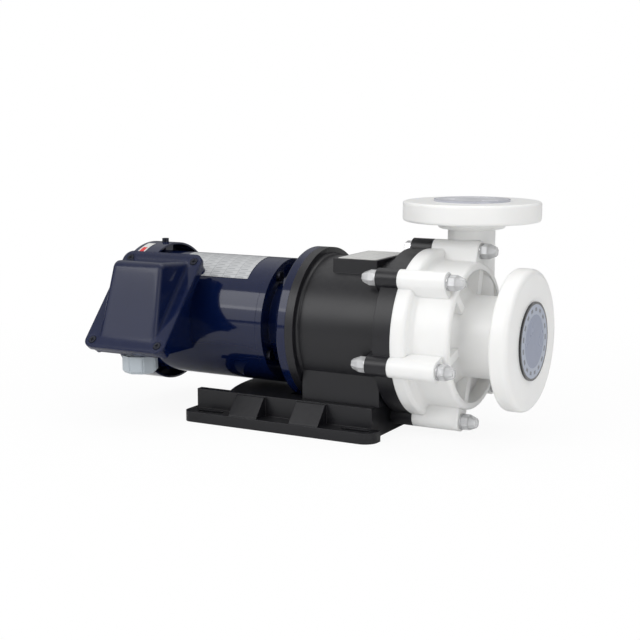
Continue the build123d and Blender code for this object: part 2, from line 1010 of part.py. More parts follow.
def nut_cap(seat_x, direction, angle):
    """Tapered hexagonal cap over a nut, its open end on the washer."""
    pocket = nut_flats / 2 + running_gap
    straight = nut_height + 1.0
    seat = Plane(
        origin=(seat_x, 0, shaft_height),
        x_dir=(0, 1, 0),
        z_dir=(direction, 0, 0),
    )
    spot_angle = radians(angle)
    spot_y = bolt_circle_radius * cos(spot_angle)
    spot_z = direction * bolt_circle_radius * sin(spot_angle)
    with BuildSketch(seat) as skirt:
        with Locations((spot_y, spot_z)):
            RegularPolygon(nut_cap_radius, 6, rotation=direction * angle)
    extrude(skirt.sketch, amount=straight)
    with BuildSketch(seat.offset(straight)) as shoulder:
        with Locations((spot_y, spot_z)):
            RegularPolygon(nut_cap_radius, 6, rotation=direction * angle)
    with BuildSketch(seat.offset(nut_cap_length)) as tip:
        with Locations((spot_y, spot_z)):
            RegularPolygon(nut_cap_tip_radius, 6, rotation=direction * angle)
    loft([shoulder.sketch, tip.sketch])
    with BuildSketch(seat) as nut_pocket:
        with Locations((spot_y, spot_z)):
            RegularPolygon(
                pocket,
                6,
                major_radius=False,
                rotation=direction * angle,
            )
    extrude(nut_pocket.sketch, amount=nut_height, mode=Mode.SUBTRACT)
    with BuildSketch(seat) as stud_pocket:
        with Locations((spot_y, spot_z)):
            Circle(stud_radius + running_gap)
    extrude(
        stud_pocket.sketch,
        amount=nut_cap_length - nut_cap_wall_end,
        mode=Mode.SUBTRACT,
    )


with BuildPart() as casing_nut_caps:
    for step in range(bolt_count):
        nut_cap(front_washer_x, 1, first_bolt_angle + 60.0 * step)
    for angle in upper_bolt_angles:
        if angle != bare_nut_angle:
            nut_cap(rear_washer_x, -1, angle)
casing_nut_caps.part.label = "casing_nut_caps"
export_step(casing_nut_caps.part, "parts/casing_nut_caps.step")

# Motor drive end shield with its flange

front_bearing_front_x = front_bearing_x + bearing_width
seat_radius = bearing_outer_radius + running_gap / 5
shield_hole_radius = 9.0
shield_spigot_rear_x = shell_front_x - 5.0
shield_cavity_radius = 44.0
shield_cavity_front_x = -12.0
bearing_boss_radius = 23.0
with BuildPart() as drive_end_shield:
    turned(
        (
            (motor_flange_rear_x, 0),
            (motor_flange_rear_x, motor_flange_radius),
            (motor_face_x, motor_flange_radius),
            (motor_face_x, 0),
        ),
        rounds=(((motor_flange_rear_x, motor_flange_radius), 1.5),),
    )
    disc(motor_face_x, motor_face_x + spigot_length, spigot_radius)
    disc(shield_ring_rear_x, motor_flange_rear_x, shield_neck_radius)
    disc(shell_front_x, shield_ring_rear_x, shell_radius)
    disc(shield_spigot_rear_x, shell_front_x, shell_inner - running_gap)
    disc(
        shield_spigot_rear_x,
        shield_cavity_front_x,
        shield_cavity_radius,
        mode=Mode.SUBTRACT,
    )
    disc(front_bearing_x - 5, shield_cavity_front_x, bearing_boss_radius)
    disc(
        front_bearing_x - 5,
        front_bearing_front_x,
        seat_radius,
        mode=Mode.SUBTRACT,
    )
    disc(
        front_bearing_front_x,
        motor_face_x + spigot_length,
        shield_hole_radius,
        mode=Mode.SUBTRACT,
    )
    rods(
        shield_spigot_rear_x,
        shield_ring_rear_x,
        tie_radius + stud_clearance / 2,
        tie_circle_radius,
        end_bolt_count,
        tie_first_angle,
        mode=Mode.SUBTRACT,
    )
    rods(
        motor_flange_rear_x,
        motor_face_x,
        flange_bolt_radius + stud_clearance,
        flange_bolt_circle,
        end_bolt_count,
        flange_bolt_first_angle,
        mode=Mode.SUBTRACT,
    )
drive_end_shield.part.label = "drive_end_shield"
export_step(drive_end_shield.part, "parts/drive_end_shield.step")

# Motor shell

wire_hole_radius = 8.0
wire_hole_x = -141.0
wire_hole_height = 10.0
with BuildPart() as motor_shell:
    disc(shell_rear_x, shell_front_x, shell_radius, shell_inner)
    with BuildSketch(Plane.XZ) as wire_face:
        with Locations((wire_hole_x, shaft_height + wire_hole_height)):
            Circle(wire_hole_radius)
    extrude(wire_face.sketch, amount=shell_radius, mode=Mode.SUBTRACT)
motor_shell.part.label = "motor_shell"
export_step(motor_shell.part, "parts/motor_shell.step")

# Rear end shield with the fan cover lugs

shield_disc_rear_x = -197.0
rear_spigot_front_x = shell_rear_x + 5.0
lug_top = sqrt((cover_radius - cover_wall) ** 2 - lug_half_width**2) - running_gap
lug_rear_x = cover_screw_x - 5.0
lug_front_x = cover_screw_x + 5.0
rear_seat_x = rear_bearing_x - 2.0
lug_count = 3
with BuildPart() as rear_end_shield:
    disc(shield_disc_rear_x, shell_rear_x, shell_radius)
    disc(shell_rear_x, rear_spigot_front_x, shell_inner - running_gap)
    with BuildSketch(station(lug_rear_x + 1)) as lug_face:
        with PolarLocations(shell_radius - 5, lug_count, 90.0):
            Rectangle(
                lug_top - shell_radius + 5,
                2 * lug_half_width,
                align=(Align.MIN, Align.CENTER),
            )
    extrude(lug_face.sketch, amount=lug_front_x - lug_rear_x - 1)
    disc(
        shield_disc_rear_x + 5,
        rear_spigot_front_x,
        shield_cavity_radius + 8,
        bearing_boss_radius,
        mode=Mode.SUBTRACT,
    )
    disc(rear_seat_x, rear_spigot_front_x, seat_radius, mode=Mode.SUBTRACT)
    disc(
        shield_disc_rear_x,
        rear_seat_x,
        shield_hole_radius,
        mode=Mode.SUBTRACT,
    )
    rods(
        shield_disc_rear_x + 2,
        rear_spigot_front_x,
        tie_radius,
        tie_circle_radius,
        end_bolt_count,
        tie_first_angle,
        mode=Mode.SUBTRACT,
    )
    cover_screw_radius = 2.0
    for step in range(lug_count):
        angle = radians(90.0 + 120.0 * step)
        lug_plane = Plane(
            origin=(
                cover_screw_x,
                lug_top * cos(angle),
                shaft_height + lug_top * sin(angle),
            ),
            x_dir=(1, 0, 0),
            z_dir=(0, -cos(angle), -sin(angle)),
        )
        with BuildSketch(lug_plane) as lug_hole:
            Circle(cover_screw_radius)
        extrude(lug_hole.sketch, amount=8.0, mode=Mode.SUBTRACT)
rear_end_shield.part.label = "rear_end_shield"
export_step(rear_end_shield.part, "parts/rear_end_shield.step")

# Stator core and end windings

notch_radius = 4.2
with BuildPart() as stator_core:
    disc(core_rear_x, core_front_x, shell_inner - running_gap, rotor_radius + air_gap)
    rods(
        core_rear_x,
        core_front_x,
        notch_radius,
        tie_circle_radius,
        end_bolt_count,
        tie_first_angle,
        mode=Mode.SUBTRACT,
    )
stator_core.part.label = "stator_core"
export_step(stator_core.part, "parts/stator_core.step")

with BuildPart() as end_windings:
    for start, end, outer_x in (
        (core_front_x, core_front_x + winding_length, core_front_x + winding_length),
        (core_rear_x - winding_length, core_rear_x, core_rear_x - winding_length),
    ):
        turned(
            (
                (start, winding_inner),
                (start, winding_outer),
                (end, winding_outer),
                (end, winding_inner),
            ),
            rounds=(
                ((outer_x, winding_inner), 5.0),
                ((outer_x, winding_outer), 5.0),
            ),
        )
end_windings.part.label = "end_windings"
export_step(end_windings.part, "parts/end_windings.step")

# Rotor, shaft and bearings

with BuildPart() as rotor_core:
    disc(core_rear_x, core_front_x, rotor_radius, rotor_bore_radius)
rotor_core.part.label = "rotor_core"
export_step(rotor_core.part, "parts/rotor_core.step")

end_ring_length = 8.0
with BuildPart() as rotor_end_rings:
    disc(core_front_x, core_front_x + end_ring_length, rotor_radius - 1, 22.0)
    disc(core_rear_x - end_ring_length, core_rear_x, rotor_radius - 1, 22.0)
rotor_end_rings.part.label = "rotor_end_rings"
export_step(rotor_end_rings.part, "parts/rotor_end_rings.step")

fan_seat_radius = 6.0
shaft_rear_x = -212.0
rear_bearing_front_x = rear_bearing_x + bearing_width
with BuildPart() as motor_shaft:
    turned(
        (
            (shaft_rear_x, 0),
            (shaft_rear_x, fan_seat_radius),
            (rear_bearing_x, fan_seat_radius),
            (rear_bearing_x, bearing_bore_radius),
            (rear_bearing_front_x, bearing_bore_radius),
            (rear_bearing_front_x, rotor_bore_radius),
            (front_bearing_x, rotor_bore_radius),
            (front_bearing_x, bearing_bore_radius),
            (front_bearing_front_x, bearing_bore_radius),
            (front_bearing_front_x, shaft_radius),
            (shaft_end_x, shaft_radius),
            (shaft_end_x, 0),
        )
    )
    block(
        (key_rear_x, key_front_x),
        (-key_width / 2, key_width / 2),
        (shaft_height + key_bottom, shaft_height + key_top),
        mode=Mode.SUBTRACT,
    )
motor_shaft.part.label = "motor_shaft"
export_step(motor_shaft.part, "parts/motor_shaft.step")

with BuildPart() as bearing_outer_rings:
    for start in (front_bearing_x, rear_bearing_x):
        disc(
            start,
            start + bearing_width,
            bearing_outer_radius,
            bearing_outer_radius - race_thickness,
        )
bearing_outer_rings.part.label = "bearing_outer_rings"
export_step(bearing_outer_rings.part, "parts/bearing_outer_rings.step")

with BuildPart() as bearing_inner_rings:
    for start in (front_bearing_x, rear_bearing_x):
        disc(
            start,
            start + bearing_width,
            bearing_bore_radius + race_thickness,
            bearing_bore_radius,
        )
bearing_inner_rings.part.label = "bearing_inner_rings"
export_step(bearing_inner_rings.part, "parts/bearing_inner_rings.step")

ball_pitch = (bearing_bore_radius + bearing_outer_radius) / 2
with BuildPart() as bearing_balls:
    for start in (front_bearing_x, rear_bearing_x):
        for step in range(ball_count):
            angle = radians(360.0 * step / ball_count)
            with Locations(
                (
                    start + bearing_width / 2,
                    ball_pitch * cos(angle),
                    shaft_height + ball_pitch * sin(angle),
                )
            ):
                Sphere(ball_radius)
bearing_balls.part.label = "bearing_balls"
export_step(bearing_balls.part, "parts/bearing_balls.step")

with BuildPart() as preload_washer:
    disc(rear_seat_x, rear_bearing_x, bearing_outer_radius - 0.5, 13.0)
preload_washer.part.label = "preload_washer"
export_step(preload_washer.part, "parts/preload_washer.step")

# Fan, its clip and the fan cover

fan_hub_radius = 11.0
fan_plate_thickness = 1.5
fan_blade_thickness = 2.2
clip_thickness = 1.0
with BuildPart() as cooling_fan:
    disc(fan_front_x - fan_plate_thickness, fan_front_x, fan_radius)
    disc(fan_rear_x - 0.5, fan_front_x, fan_hub_radius)
    with BuildSketch(station(fan_rear_x)) as blade_face:
        with PolarLocations(0, fan_blade_count, 90.0):
            Rectangle(fan_radius, fan_blade_thickness, align=(Align.MIN, Align.CENTER))
    extrude(blade_face.sketch, amount=fan_front_x - fan_rear_x - fan_plate_thickness)
    disc(
        fan_rear_x - 0.5,
        fan_front_x,
        fan_seat_radius,
        mode=Mode.SUBTRACT,
    )
cooling_fan.part.label = "cooling_fan"
export_step(cooling_fan.part, "parts/cooling_fan.step")

clip_front_x = fan_rear_x - 0.5
with BuildPart() as fan_clip:
    disc(clip_front_x - clip_thickness, clip_front_x, 9.0, fan_seat_radius)
    block(
        (clip_front_x - clip_thickness, clip_front_x),
        (-2.0, 2.0),
        (shaft_height, shaft_height + 10.0),
        mode=Mode.SUBTRACT,
    )
fan_clip.part.label = "fan_clip"
export_step(fan_clip.part, "parts/fan_clip.step")

cover_inner = cover_radius - cover_wall
grille_slot_width = 3.5
with BuildPart() as fan_cover:
    turned(
        (
            (cover_rear_x, 0),
            (cover_rear_x, cover_radius),
            (cover_front_x, cover_radius),
            (cover_front_x, cover_inner),
            (cover_rear_x + cover_wall, cover_inner),
            (cover_rear_x + cover_wall, 0),
        ),
        rounds=(
            ((cover_rear_x, cover_radius), cover_round),
            ((cover_rear_x + cover_wall, cover_inner), cover_round - cover_wall),
        ),
    )
    with BuildSketch(station(cover_rear_x)) as grille:
        for pitch, count, length in ((22.0, 12, 14.0), (39.0, 20, 14.0), (56.0, 28, 14.0)):
            with PolarLocations(pitch, count):
                SlotOverall(length, grille_slot_width)
    extrude(grille.sketch, amount=cover_wall, mode=Mode.SUBTRACT)
    for step in range(lug_count):
        angle = radians(90.0 + 120.0 * step)
        hole_plane = Plane(
            origin=(
                cover_screw_x,
                cover_radius * cos(angle),
                shaft_height + cover_radius * sin(angle),
            ),
            x_dir=(1, 0, 0),
            z_dir=(0, -cos(angle), -sin(angle)),
        )
        with BuildSketch(hole_plane) as cover_hole:
            Circle(cover_screw_radius + running_gap)
        extrude(cover_hole.sketch, amount=2 * cover_wall, mode=Mode.SUBTRACT)
fan_cover.part.label = "fan_cover"
export_step(fan_cover.part, "parts/fan_cover.step")

screw_head_radius = 3.7
screw_head_height = 4.2
with BuildPart() as fan_cover_screws:
    for step in range(lug_count):
        angle = radians(90.0 + 120.0 * step)
        outward = (0, cos(angle), sin(angle))
        head_seat = cover_radius
        head_plane = Plane(
            origin=(
                cover_screw_x,
                head_seat * cos(angle),
                shaft_height + head_seat * sin(angle),
            ),
            x_dir=(1, 0, 0),
            z_dir=outward,
        )
        with BuildSketch(head_plane) as head:
            Circle(screw_head_radius)
        extrude(head.sketch, amount=screw_head_height)
        with BuildSketch(head_plane) as stem:
            Circle(cover_screw_radius)
        extrude(stem.sketch, amount=-8.0)
        with BuildSketch(head_plane.offset(screw_head_height)) as drive_slot:
            Rectangle(2 * screw_head_radius, 1.2)
        extrude(drive_slot.sketch, amount=-1.5, mode=Mode.SUBTRACT)
fan_cover_screws.part.label = "fan_cover_screws"
export_step(fan_cover_screws.part, "parts/fan_cover_screws.step")

# Rotation label on the fan cover and nameplate on the shell


def curved_plate(start, end, radius, thickness, first_angle, last_angle):
    """Thin plate wrapped on a cylinder about the shaft, angles from +Y."""
    with BuildSketch(station(start)) as band:
        with BuildLine():
            outer = CenterArc(
                (0, 0), radius + thickness, first_angle, last_angle - first_angle
            )
            inner = CenterArc((0, 0), radius, first_angle, last_angle - first_angle)
            Line(outer @ 0, inner @ 0)
            Line(outer @ 1, inner @ 1)
        make_face()
    extrude(band.sketch, amount=end - start)


label_margin = 4.0
rotation_label_thickness = 0.3
rotation_label_first_angle = 100.0
rotation_label_last_angle = 132.0
nameplate_first_angle = 92.0
nameplate_last_angle = 134.0
with BuildPart() as rotation_label:
    curved_plate(
        cover_rear_x + cover_round + label_margin,
        cover_screw_x - label_margin,
        cover_radius + label_gap,
        rotation_label_thickness,
        rotation_label_first_angle,
        rotation_label_last_angle,
    )
rotation_label.part.label = "rotation_label"
export_step(rotation_label.part, "parts/rotation_label.step")

with BuildPart() as motor_nameplate:
    curved_plate(
        nameplate_rear_x,
        nameplate_front_x,
        shell_radius + label_gap,
        nameplate_thickness,
        nameplate_first_angle,
        nameplate_last_angle,
    )
motor_nameplate.part.label = "motor_nameplate"
export_step(motor_nameplate.part, "parts/motor_nameplate.step")

# Motor tie bolts and flange bolts

tie_head_radius = 5.0
tie_slot_width = 1.4
tie_slot_depth = 1.8
tie_head_x = shield_ring_rear_x + 4.0
tie_end_x = shield_disc_rear_x + 2.5
with BuildPart() as tie_bolts:
    for start, end, radius in (
        (shield_ring_rear_x, tie_head_x, tie_head_radius),
        (tie_end_x, shield_ring_rear_x, tie_radius),
    ):
        rods(start, end, radius, tie_circle_radius, end_bolt_count, tie_first_angle)
    with BuildSketch(station(tie_head_x)) as tie_slots:
        with PolarLocations(tie_circle_radius, end_bolt_count, tie_first_angle):
            Rectangle(2 * tie_head_radius + tie_slot_width, tie_slot_width)
    extrude(tie_slots.sketch, amount=-tie_slot_depth, mode=Mode.SUBTRACT)
tie_bolts.part.label = "tie_bolts"
export_step(tie_bolts.part, "parts/tie_bolts.step")

flange_washer_x = motor_flange_rear_x - washer_thickness
flange_head_x = flange_washer_x - 5.5
with BuildPart() as flange_washers:
    rods(
        flange_washer_x,
        motor_flange_rear_x,
        washer_radius,
        flange_bolt_circle,
        end_bolt_count,
        flange_bolt_first_angle,
    )
    rods(
        flange_washer_x,
        motor_flange_rear_x,
        flange_bolt_radius + running_gap,
        flange_bolt_circle,
        end_bolt_count,
        flange_bolt_first_angle,
        mode=Mode.SUBTRACT,
    )
flange_washers.part.label = "flange_washers"
export_step(flange_washers.part, "parts/flange_washers.step")

with BuildPart() as flange_bolts:
    hex_rods(
        flange_head_x,
        flange_washer_x,
        nut_flats,
        flange_bolt_circle,
        end_bolt_count,
        flange_bolt_first_angle,
    )
    rods(
        flange_washer_x,
        motor_face_x + flange_thread_depth - 2,
        flange_bolt_radius,
        flange_bolt_circle,
        end_bolt_count,
        flange_bolt_first_angle,
    )
flange_bolts.part.label = "flange_bolts"
export_step(flange_bolts.part, "parts/flange_bolts.step")

# Terminal box base

box_half_x = plate_width / 2 - box_inset
box_depth = plate_thickness + gasket_thickness
half_slope = plate_height / 2 - box_inset


gland_thread_radius = 11.0


def box_point(along, depth):
    """Point in the (Y, Z) section at a distance up the cover slope and a depth under it."""
    y = box_centre_y + tilt_cosine * along + tilt_sine * depth
    z = shaft_height + box_centre_height + tilt_sine * along - tilt_cosine * depth
    return (y, z)


def depth_to_radius(along, radius):
    """Depth under the cover at which a line square to it meets a radius about the shaft."""
    y, z = box_point(along, 0)
    rise = z - shaft_height
    reach = tilt_cosine * rise - tilt_sine * y
    return reach - sqrt(reach**2 - y**2 - rise**2 + radius**2)


body_top_along = plate_height / 2 - body_inset
body_toe_along = -plate_height / 2 + body_toe_inset
body_half_x = plate_width / 2 - body_inset
body_rear_x = box_centre_x - body_half_x
body_front_x = box_centre_x + body_half_x
box_top = box_point(body_top_along, box_depth)
box_deep = box_point(body_top_along, depth_to_radius(body_top_along, shell_inner))
box_toe = box_point(body_toe_along, box_depth)
box_floor_z = shaft_height + box_floor_height
box_toe_y = box_toe[0] + 5.0
pocket_rear_x = -172.0
pocket_front_x = body_front_x - box_wall
liner_radius = shell_radius + box_wall
cover_clearance_radius = cover_radius + 1.5
pocket_along = body_top_along - box_wall
pocket_top = box_point(pocket_along, depth_to_radius(pocket_along, liner_radius))
pocket_floor_z = box_floor_z + box_wall
floor_offset = pocket_floor_z - shaft_height
pocket_floor_y = -sqrt(liner_radius**2 - floor_offset**2)
lip_depth = box_depth - gasket_thickness
lip_top = box_point(pocket_along, lip_depth)
lip_toe = box_point(body_toe_along + box_wall, lip_depth)
saddle_front_x = cover_front_x + 2.0
corner_x = plate_width / 2 - 9.0
corner_y = plate_height / 2 - 9.0
screw_spots = tuple((x, y) for x in (-corner_x, corner_x) for y in (-corner_y, corner_y))
with BuildPart() as terminal_box:
    with BuildSketch(Plane.YZ.offset(body_rear_x)) as outer_section:
        with BuildLine():
            Polyline(
                box_top,
                box_deep,
                (-gland_thread_radius, box_floor_z),
                (box_toe_y, box_floor_z),
                box_toe,
                close=True,
            )
        make_face()
    extrude(outer_section.sketch, amount=body_front_x - body_rear_x)
    with BuildSketch(
        cover_plane.offset(-box_depth - box_flange_thickness)
    ) as box_flange_face:
        Rectangle(2 * box_half_x, 2 * half_slope)
        fillet(box_flange_face.vertices(), radius=plate_corner_radius - box_inset)
    extrude(box_flange_face.sketch, amount=box_flange_thickness)
    with BuildSketch(Plane.YZ.offset(pocket_rear_x)) as pocket_section:
        with BuildLine():
            Polyline(
                pocket_top,
                lip_top,
                lip_toe,
                (box_toe_y + box_wall, pocket_floor_z),
                (pocket_floor_y, pocket_floor_z),
            )
            ThreePointArc(
                (pocket_floor_y, pocket_floor_z),
                (-liner_radius, shaft_height),
                pocket_top,
            )
        make_face()
    extrude(
        pocket_section.sketch,
        amount=pocket_front_x - pocket_rear_x,
        mode=Mode.SUBTRACT,
    )
    board_spots = ((-10.0, -12.0), (20.0, -12.0))
    slanted(5.0, board_spots, -31.0, -60.0)
    for spot in screw_spots:
        slanted(5.0, (spot,), -box_depth - 11.0, -box_depth)
    disc(
        body_rear_x,
        body_front_x,
        shell_radius + running_gap / 2,
        mode=Mode.SUBTRACT,
    )
    disc(
        cover_rear_x - 5,
        saddle_front_x,
        cover_clearance_radius,
        mode=Mode.SUBTRACT,
    )
    slanted(2.0, screw_spots, -box_depth - 7.0, -box_depth, mode=Mode.SUBTRACT)
    slanted(1.5, board_spots, -41.0, -31.0, mode=Mode.SUBTRACT)
    upright(
        gland_thread_radius + running_gap,
        (gland_x, gland_y),
        (box_floor_z, pocket_floor_z),
        mode=Mode.SUBTRACT,
    )
    with BuildSketch(Plane.XZ.offset(shell_radius - 10)) as box_wire_face:
        with Locations((wire_hole_x, shaft_height + wire_hole_height)):
            Circle(wire_hole_radius)
    extrude(box_wire_face.sketch, amount=20.0, mode=Mode.SUBTRACT)
terminal_box.part.label = "terminal_box"
export_step(terminal_box.part, "parts/terminal_box.step")

# Gasket and cover plate with its wedge dome

with BuildPart() as terminal_gasket:
    with BuildSketch(cover_plane.offset(-box_depth)) as gasket_face:
        Rectangle(2 * box_half_x, 2 * half_slope)
        fillet(gasket_face.vertices(), radius=plate_corner_radius - box_inset)
        Rectangle(
            2 * (box_half_x - 14.0), 2 * (half_slope - 14.0), mode=Mode.SUBTRACT
        )
        with Locations(*screw_spots):
            Circle(2.2, mode=Mode.SUBTRACT)
    extrude(gasket_face.sketch, amount=gasket_thickness)
terminal_gasket.part.label = "terminal_gasket"
export_step(terminal_gasket.part, "parts/terminal_gasket.step")

dome_half_width = 35.0
dome_lean = 0.15
dome_edge_round = 5.0
dome_top_along = plate_height / 2 - 9.0
dome_bottom_along = -plate_height / 2 + 12.5
dome_run = 21.8
dome_rise = 78.0
dome_foot = box_point(dome_bottom_along, 0.5)
dome_back = box_point(dome_top_along, 0.5)
dome_nose = (dome_foot[0] + dome_run, dome_foot[1] + dome_rise)
counterbore_radius = 4.3
counterbore_depth = 2.5
with BuildPart() as terminal_cover:
    with BuildSketch(cover_plane.offset(-plate_thickness)) as plate_face:
        Rectangle(plate_width, plate_height)
        fillet(plate_face.vertices(), radius=plate_corner_radius)
    extrude(plate_face.sketch, amount=plate_thickness)
    with BuildSketch(Plane.YZ.offset(box_centre_x - dome_half_width)) as dome_section:
        with BuildLine():
            Polyline(dome_back, dome_nose, dome_foot, close=True)
        make_face()
        fillet(
            dome_section.vertices().sort_by_distance((*dome_nose, 0))[0], radius=9.0
        )
    extrude(dome_section.sketch, amount=2 * dome_half_width)
    # sides of the dome lean in towards its nose
    with BuildSketch(slope_plane.offset(-plate_height / 2)) as side_waste:
        for side in (-1, 1):
            with BuildLine():
                Polyline(
                    (side * dome_half_width, 0),
                    (side * (dome_half_width + 1), 0),
                    (side * (dome_half_width + 1), plate_width / 2),
                    (
                        side * (dome_half_width - dome_lean * plate_width / 2),
                        plate_width / 2,
                    ),
                    close=True,
                )
            make_face()
    extrude(side_waste.sketch, amount=plate_height, mode=Mode.SUBTRACT)
    dome_edges = (
        terminal_cover.edges()
        .filter_by(lambda edge: cover_plane.to_local_coords(edge.center()).Z > 3)
        .filter_by(lambda edge: abs(edge.center().X - box_centre_x) > dome_half_width / 2)
    )
    fillet(dome_edges, radius=dome_edge_round)
    slanted(counterbore_radius, screw_spots, -counterbore_depth, 0.0, mode=Mode.SUBTRACT)
    slanted(2.2, screw_spots, -plate_thickness, 0.0, mode=Mode.SUBTRACT)
terminal_cover.part.label = "terminal_cover"
export_step(terminal_cover.part, "parts/terminal_cover.step")

with BuildPart() as terminal_cover_screws:
    slanted(3.8, screw_spots, -counterbore_depth, 0.5)
    slanted(2.0, screw_spots, -box_depth - 6.0, -counterbore_depth)
    with BuildSketch(cover_plane.offset(0.5)) as screw_cross:
        with Locations(*screw_spots):
            Rectangle(4.5, 1.0)
            Rectangle(1.0, 4.5)
    extrude(screw_cross.sketch, amount=-1.4, mode=Mode.SUBTRACT)
terminal_cover_screws.part.label = "terminal_cover_screws"
export_step(terminal_cover_screws.part, "parts/terminal_cover_screws.step")

# Terminal board, studs and nuts

board_depth = 25.0
board_thickness = 6.0
board_centre = ((board_spots[0][0] + board_spots[1][0]) / 2, board_spots[0][1])
stud_spots = tuple(
    (board_centre[0] + dx, board_centre[1] + dy)
    for dx in (-12.0, 0.0, 12.0)
    for dy in (-8.0, 8.0)
)
with BuildPart() as terminal_board:
    with BuildSketch(cover_plane.offset(-board_depth - board_thickness)) as board_face:
        with Locations(board_centre):
            Rectangle(42.0, 30.0)
    extrude(board_face.sketch, amount=board_thickness)
    slanted(2.0, stud_spots, -board_depth - 4.0, -board_depth, mode=Mode.SUBTRACT)
    slanted(1.7, board_spots, -board_depth - board_thickness, -board_depth, mode=Mode.SUBTRACT)
terminal_board.part.label = "terminal_board"
export_step(terminal_board.part, "parts/terminal_board.step")

with BuildPart() as terminal_studs:
    slanted(2.0, stud_spots, -board_depth - 4.0, -board_depth + 10.0)
terminal_studs.part.label = "terminal_studs"
export_step(terminal_studs.part, "parts/terminal_studs.step")

with BuildPart() as terminal_nuts:
    with BuildSketch(cover_plane.offset(-board_depth)) as terminal_nut_face:
        with Locations(*stud_spots):
            RegularPolygon(3.5, 6, major_radius=False)
            Circle(2.0 + running_gap, mode=Mode.SUBTRACT)
    extrude(terminal_nut_face.sketch, amount=3.2)
terminal_nuts.part.label = "terminal_nuts"
export_step(terminal_nuts.part, "parts/terminal_nuts.step")

with BuildPart() as board_screws:
    slanted(3.0, board_spots, -board_depth, -board_depth + 2.4)
    slanted(1.5, board_spots, -board_depth - 15.0, -board_depth)
board_screws.part.label = "board_screws"
export_step(board_screws.part, "parts/board_screws.step")

# Cable gland

gland_spot = (gland_x, gland_y)
gland_bore_radius = 8.0
gland_collar_height = 2.5
gland_collar_base = box_floor_z - gland_collar_height
gland_body_base = gland_collar_base - 12.0
gland_nut_base = gland_collar_base - 18.5
gland_nut_radius = 18.8
gland_nut_sides = 8
gland_groove_radius = 1.3
gland_nut_chamfer = 3.0
gland_lip_radius = 6.0
locknut_height = 4.5
with BuildPart() as gland_body:
    upright(
        gland_thread_radius,
        gland_spot,
        (gland_body_base, pocket_floor_z + locknut_height + 1.5),
    )
    with BuildSketch(Plane.XY.offset(gland_collar_base)) as collar_face:
        with Locations(gland_spot):
            RegularPolygon(13.5, 6, major_radius=False)
    extrude(collar_face.sketch, amount=gland_collar_height)
    upright(
        gland_bore_radius,
        gland_spot,
        (gland_body_base, pocket_floor_z + locknut_height + 1.5),
        mode=Mode.SUBTRACT,
    )
gland_body.part.label = "gland_body"
export_step(gland_body.part, "parts/gland_body.step")

with BuildPart() as gland_locknut:
    with BuildSketch(Plane.XY.offset(pocket_floor_z)) as locknut_face:
        with Locations(gland_spot):
            RegularPolygon(14.0, 6, major_radius=False)
            Circle(gland_thread_radius + running_gap, mode=Mode.SUBTRACT)
    extrude(locknut_face.sketch, amount=locknut_height)
gland_locknut.part.label = "gland_locknut"
export_step(gland_locknut.part, "parts/gland_locknut.step")

gland_lip_top = gland_nut_base + 3.0
with BuildPart() as gland_seal:
    upright(
        gland_bore_radius - running_gap,
        gland_spot,
        (gland_lip_top, gland_body_base + 8.0),
    )
    upright(
        gland_lip_radius - 1,
        gland_spot,
        (gland_lip_top, gland_body_base + 8.0),
        mode=Mode.SUBTRACT,
    )
gland_seal.part.label = "gland_seal"
export_step(gland_seal.part, "parts/gland_seal.step")

with BuildPart() as gland_nut:
    with BuildSketch(Plane.XY.offset(gland_nut_base)) as nut_outline:
        with Locations(gland_spot):
            RegularPolygon(gland_nut_radius, gland_nut_sides)
    extrude(nut_outline.sketch, amount=gland_collar_base - gland_nut_base)
    chamfer(gland_nut.faces().sort_by(Axis.Z)[0].edges(), length=gland_nut_chamfer)
    with BuildSketch(Plane.XY.offset(gland_nut_base)) as grip_grooves:
        with Locations(gland_spot):
            with PolarLocations(gland_nut_radius, gland_nut_sides):
                Circle(gland_groove_radius)
    extrude(
        grip_grooves.sketch,
        amount=gland_collar_base - gland_nut_base,
        mode=Mode.SUBTRACT,
    )
    upright(
        gland_thread_radius + running_gap,
        gland_spot,
        (gland_lip_top, gland_collar_base),
        mode=Mode.SUBTRACT,
    )
    upright(
        gland_lip_radius,
        gland_spot,
        (gland_nut_base, gland_lip_top),
        mode=Mode.SUBTRACT,
    )
gland_nut.part.label = "gland_nut"
export_step(gland_nut.part, "parts/gland_nut.step")
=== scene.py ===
"""Finishes, printed plates and a studio for a magnetic drive pump."""

from math import cos, radians, sin

import bmesh
import bpy
from bpy.props import (
    FloatProperty,
    FloatVectorProperty,
    PointerProperty,
)
from bpy.types import Operator, Panel, PropertyGroup
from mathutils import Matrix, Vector


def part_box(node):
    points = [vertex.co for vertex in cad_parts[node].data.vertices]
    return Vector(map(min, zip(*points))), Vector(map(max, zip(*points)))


bl_info = {
    "name": "Magnetic Drive Pump Dressing",
    "version": (1, 0, 0),
    "blender": (4, 5, 0),
    "location": "View3D > Sidebar > Pump",
    "description": "Gives the pump its finishes, printed plates and studio",
    "category": "Object",
}

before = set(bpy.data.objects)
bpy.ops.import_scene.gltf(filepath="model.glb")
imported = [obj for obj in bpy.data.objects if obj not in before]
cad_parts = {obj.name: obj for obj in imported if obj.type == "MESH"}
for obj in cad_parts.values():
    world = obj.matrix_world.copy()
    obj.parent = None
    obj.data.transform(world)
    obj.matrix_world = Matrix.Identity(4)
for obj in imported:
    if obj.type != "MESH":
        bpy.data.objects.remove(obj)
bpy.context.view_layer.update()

shaft_height = 0.1
suction_low, suction_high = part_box("suction_port_cover")
discharge_low, discharge_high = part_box("discharge_port_cover")
plate_low, plate_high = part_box("motor_nameplate")
pad_low, pad_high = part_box("bracket_nameplate")
label_low, label_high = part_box("rotation_label")


# Sizes and colours a user would change


def colour_property(name, description, default):
    """A plain colour swatch."""
    return FloatVectorProperty(
        name=name,
        description=description,
        default=default,
        size=3,
        min=0.0,
        max=1.0,
        subtype="COLOR",
    )


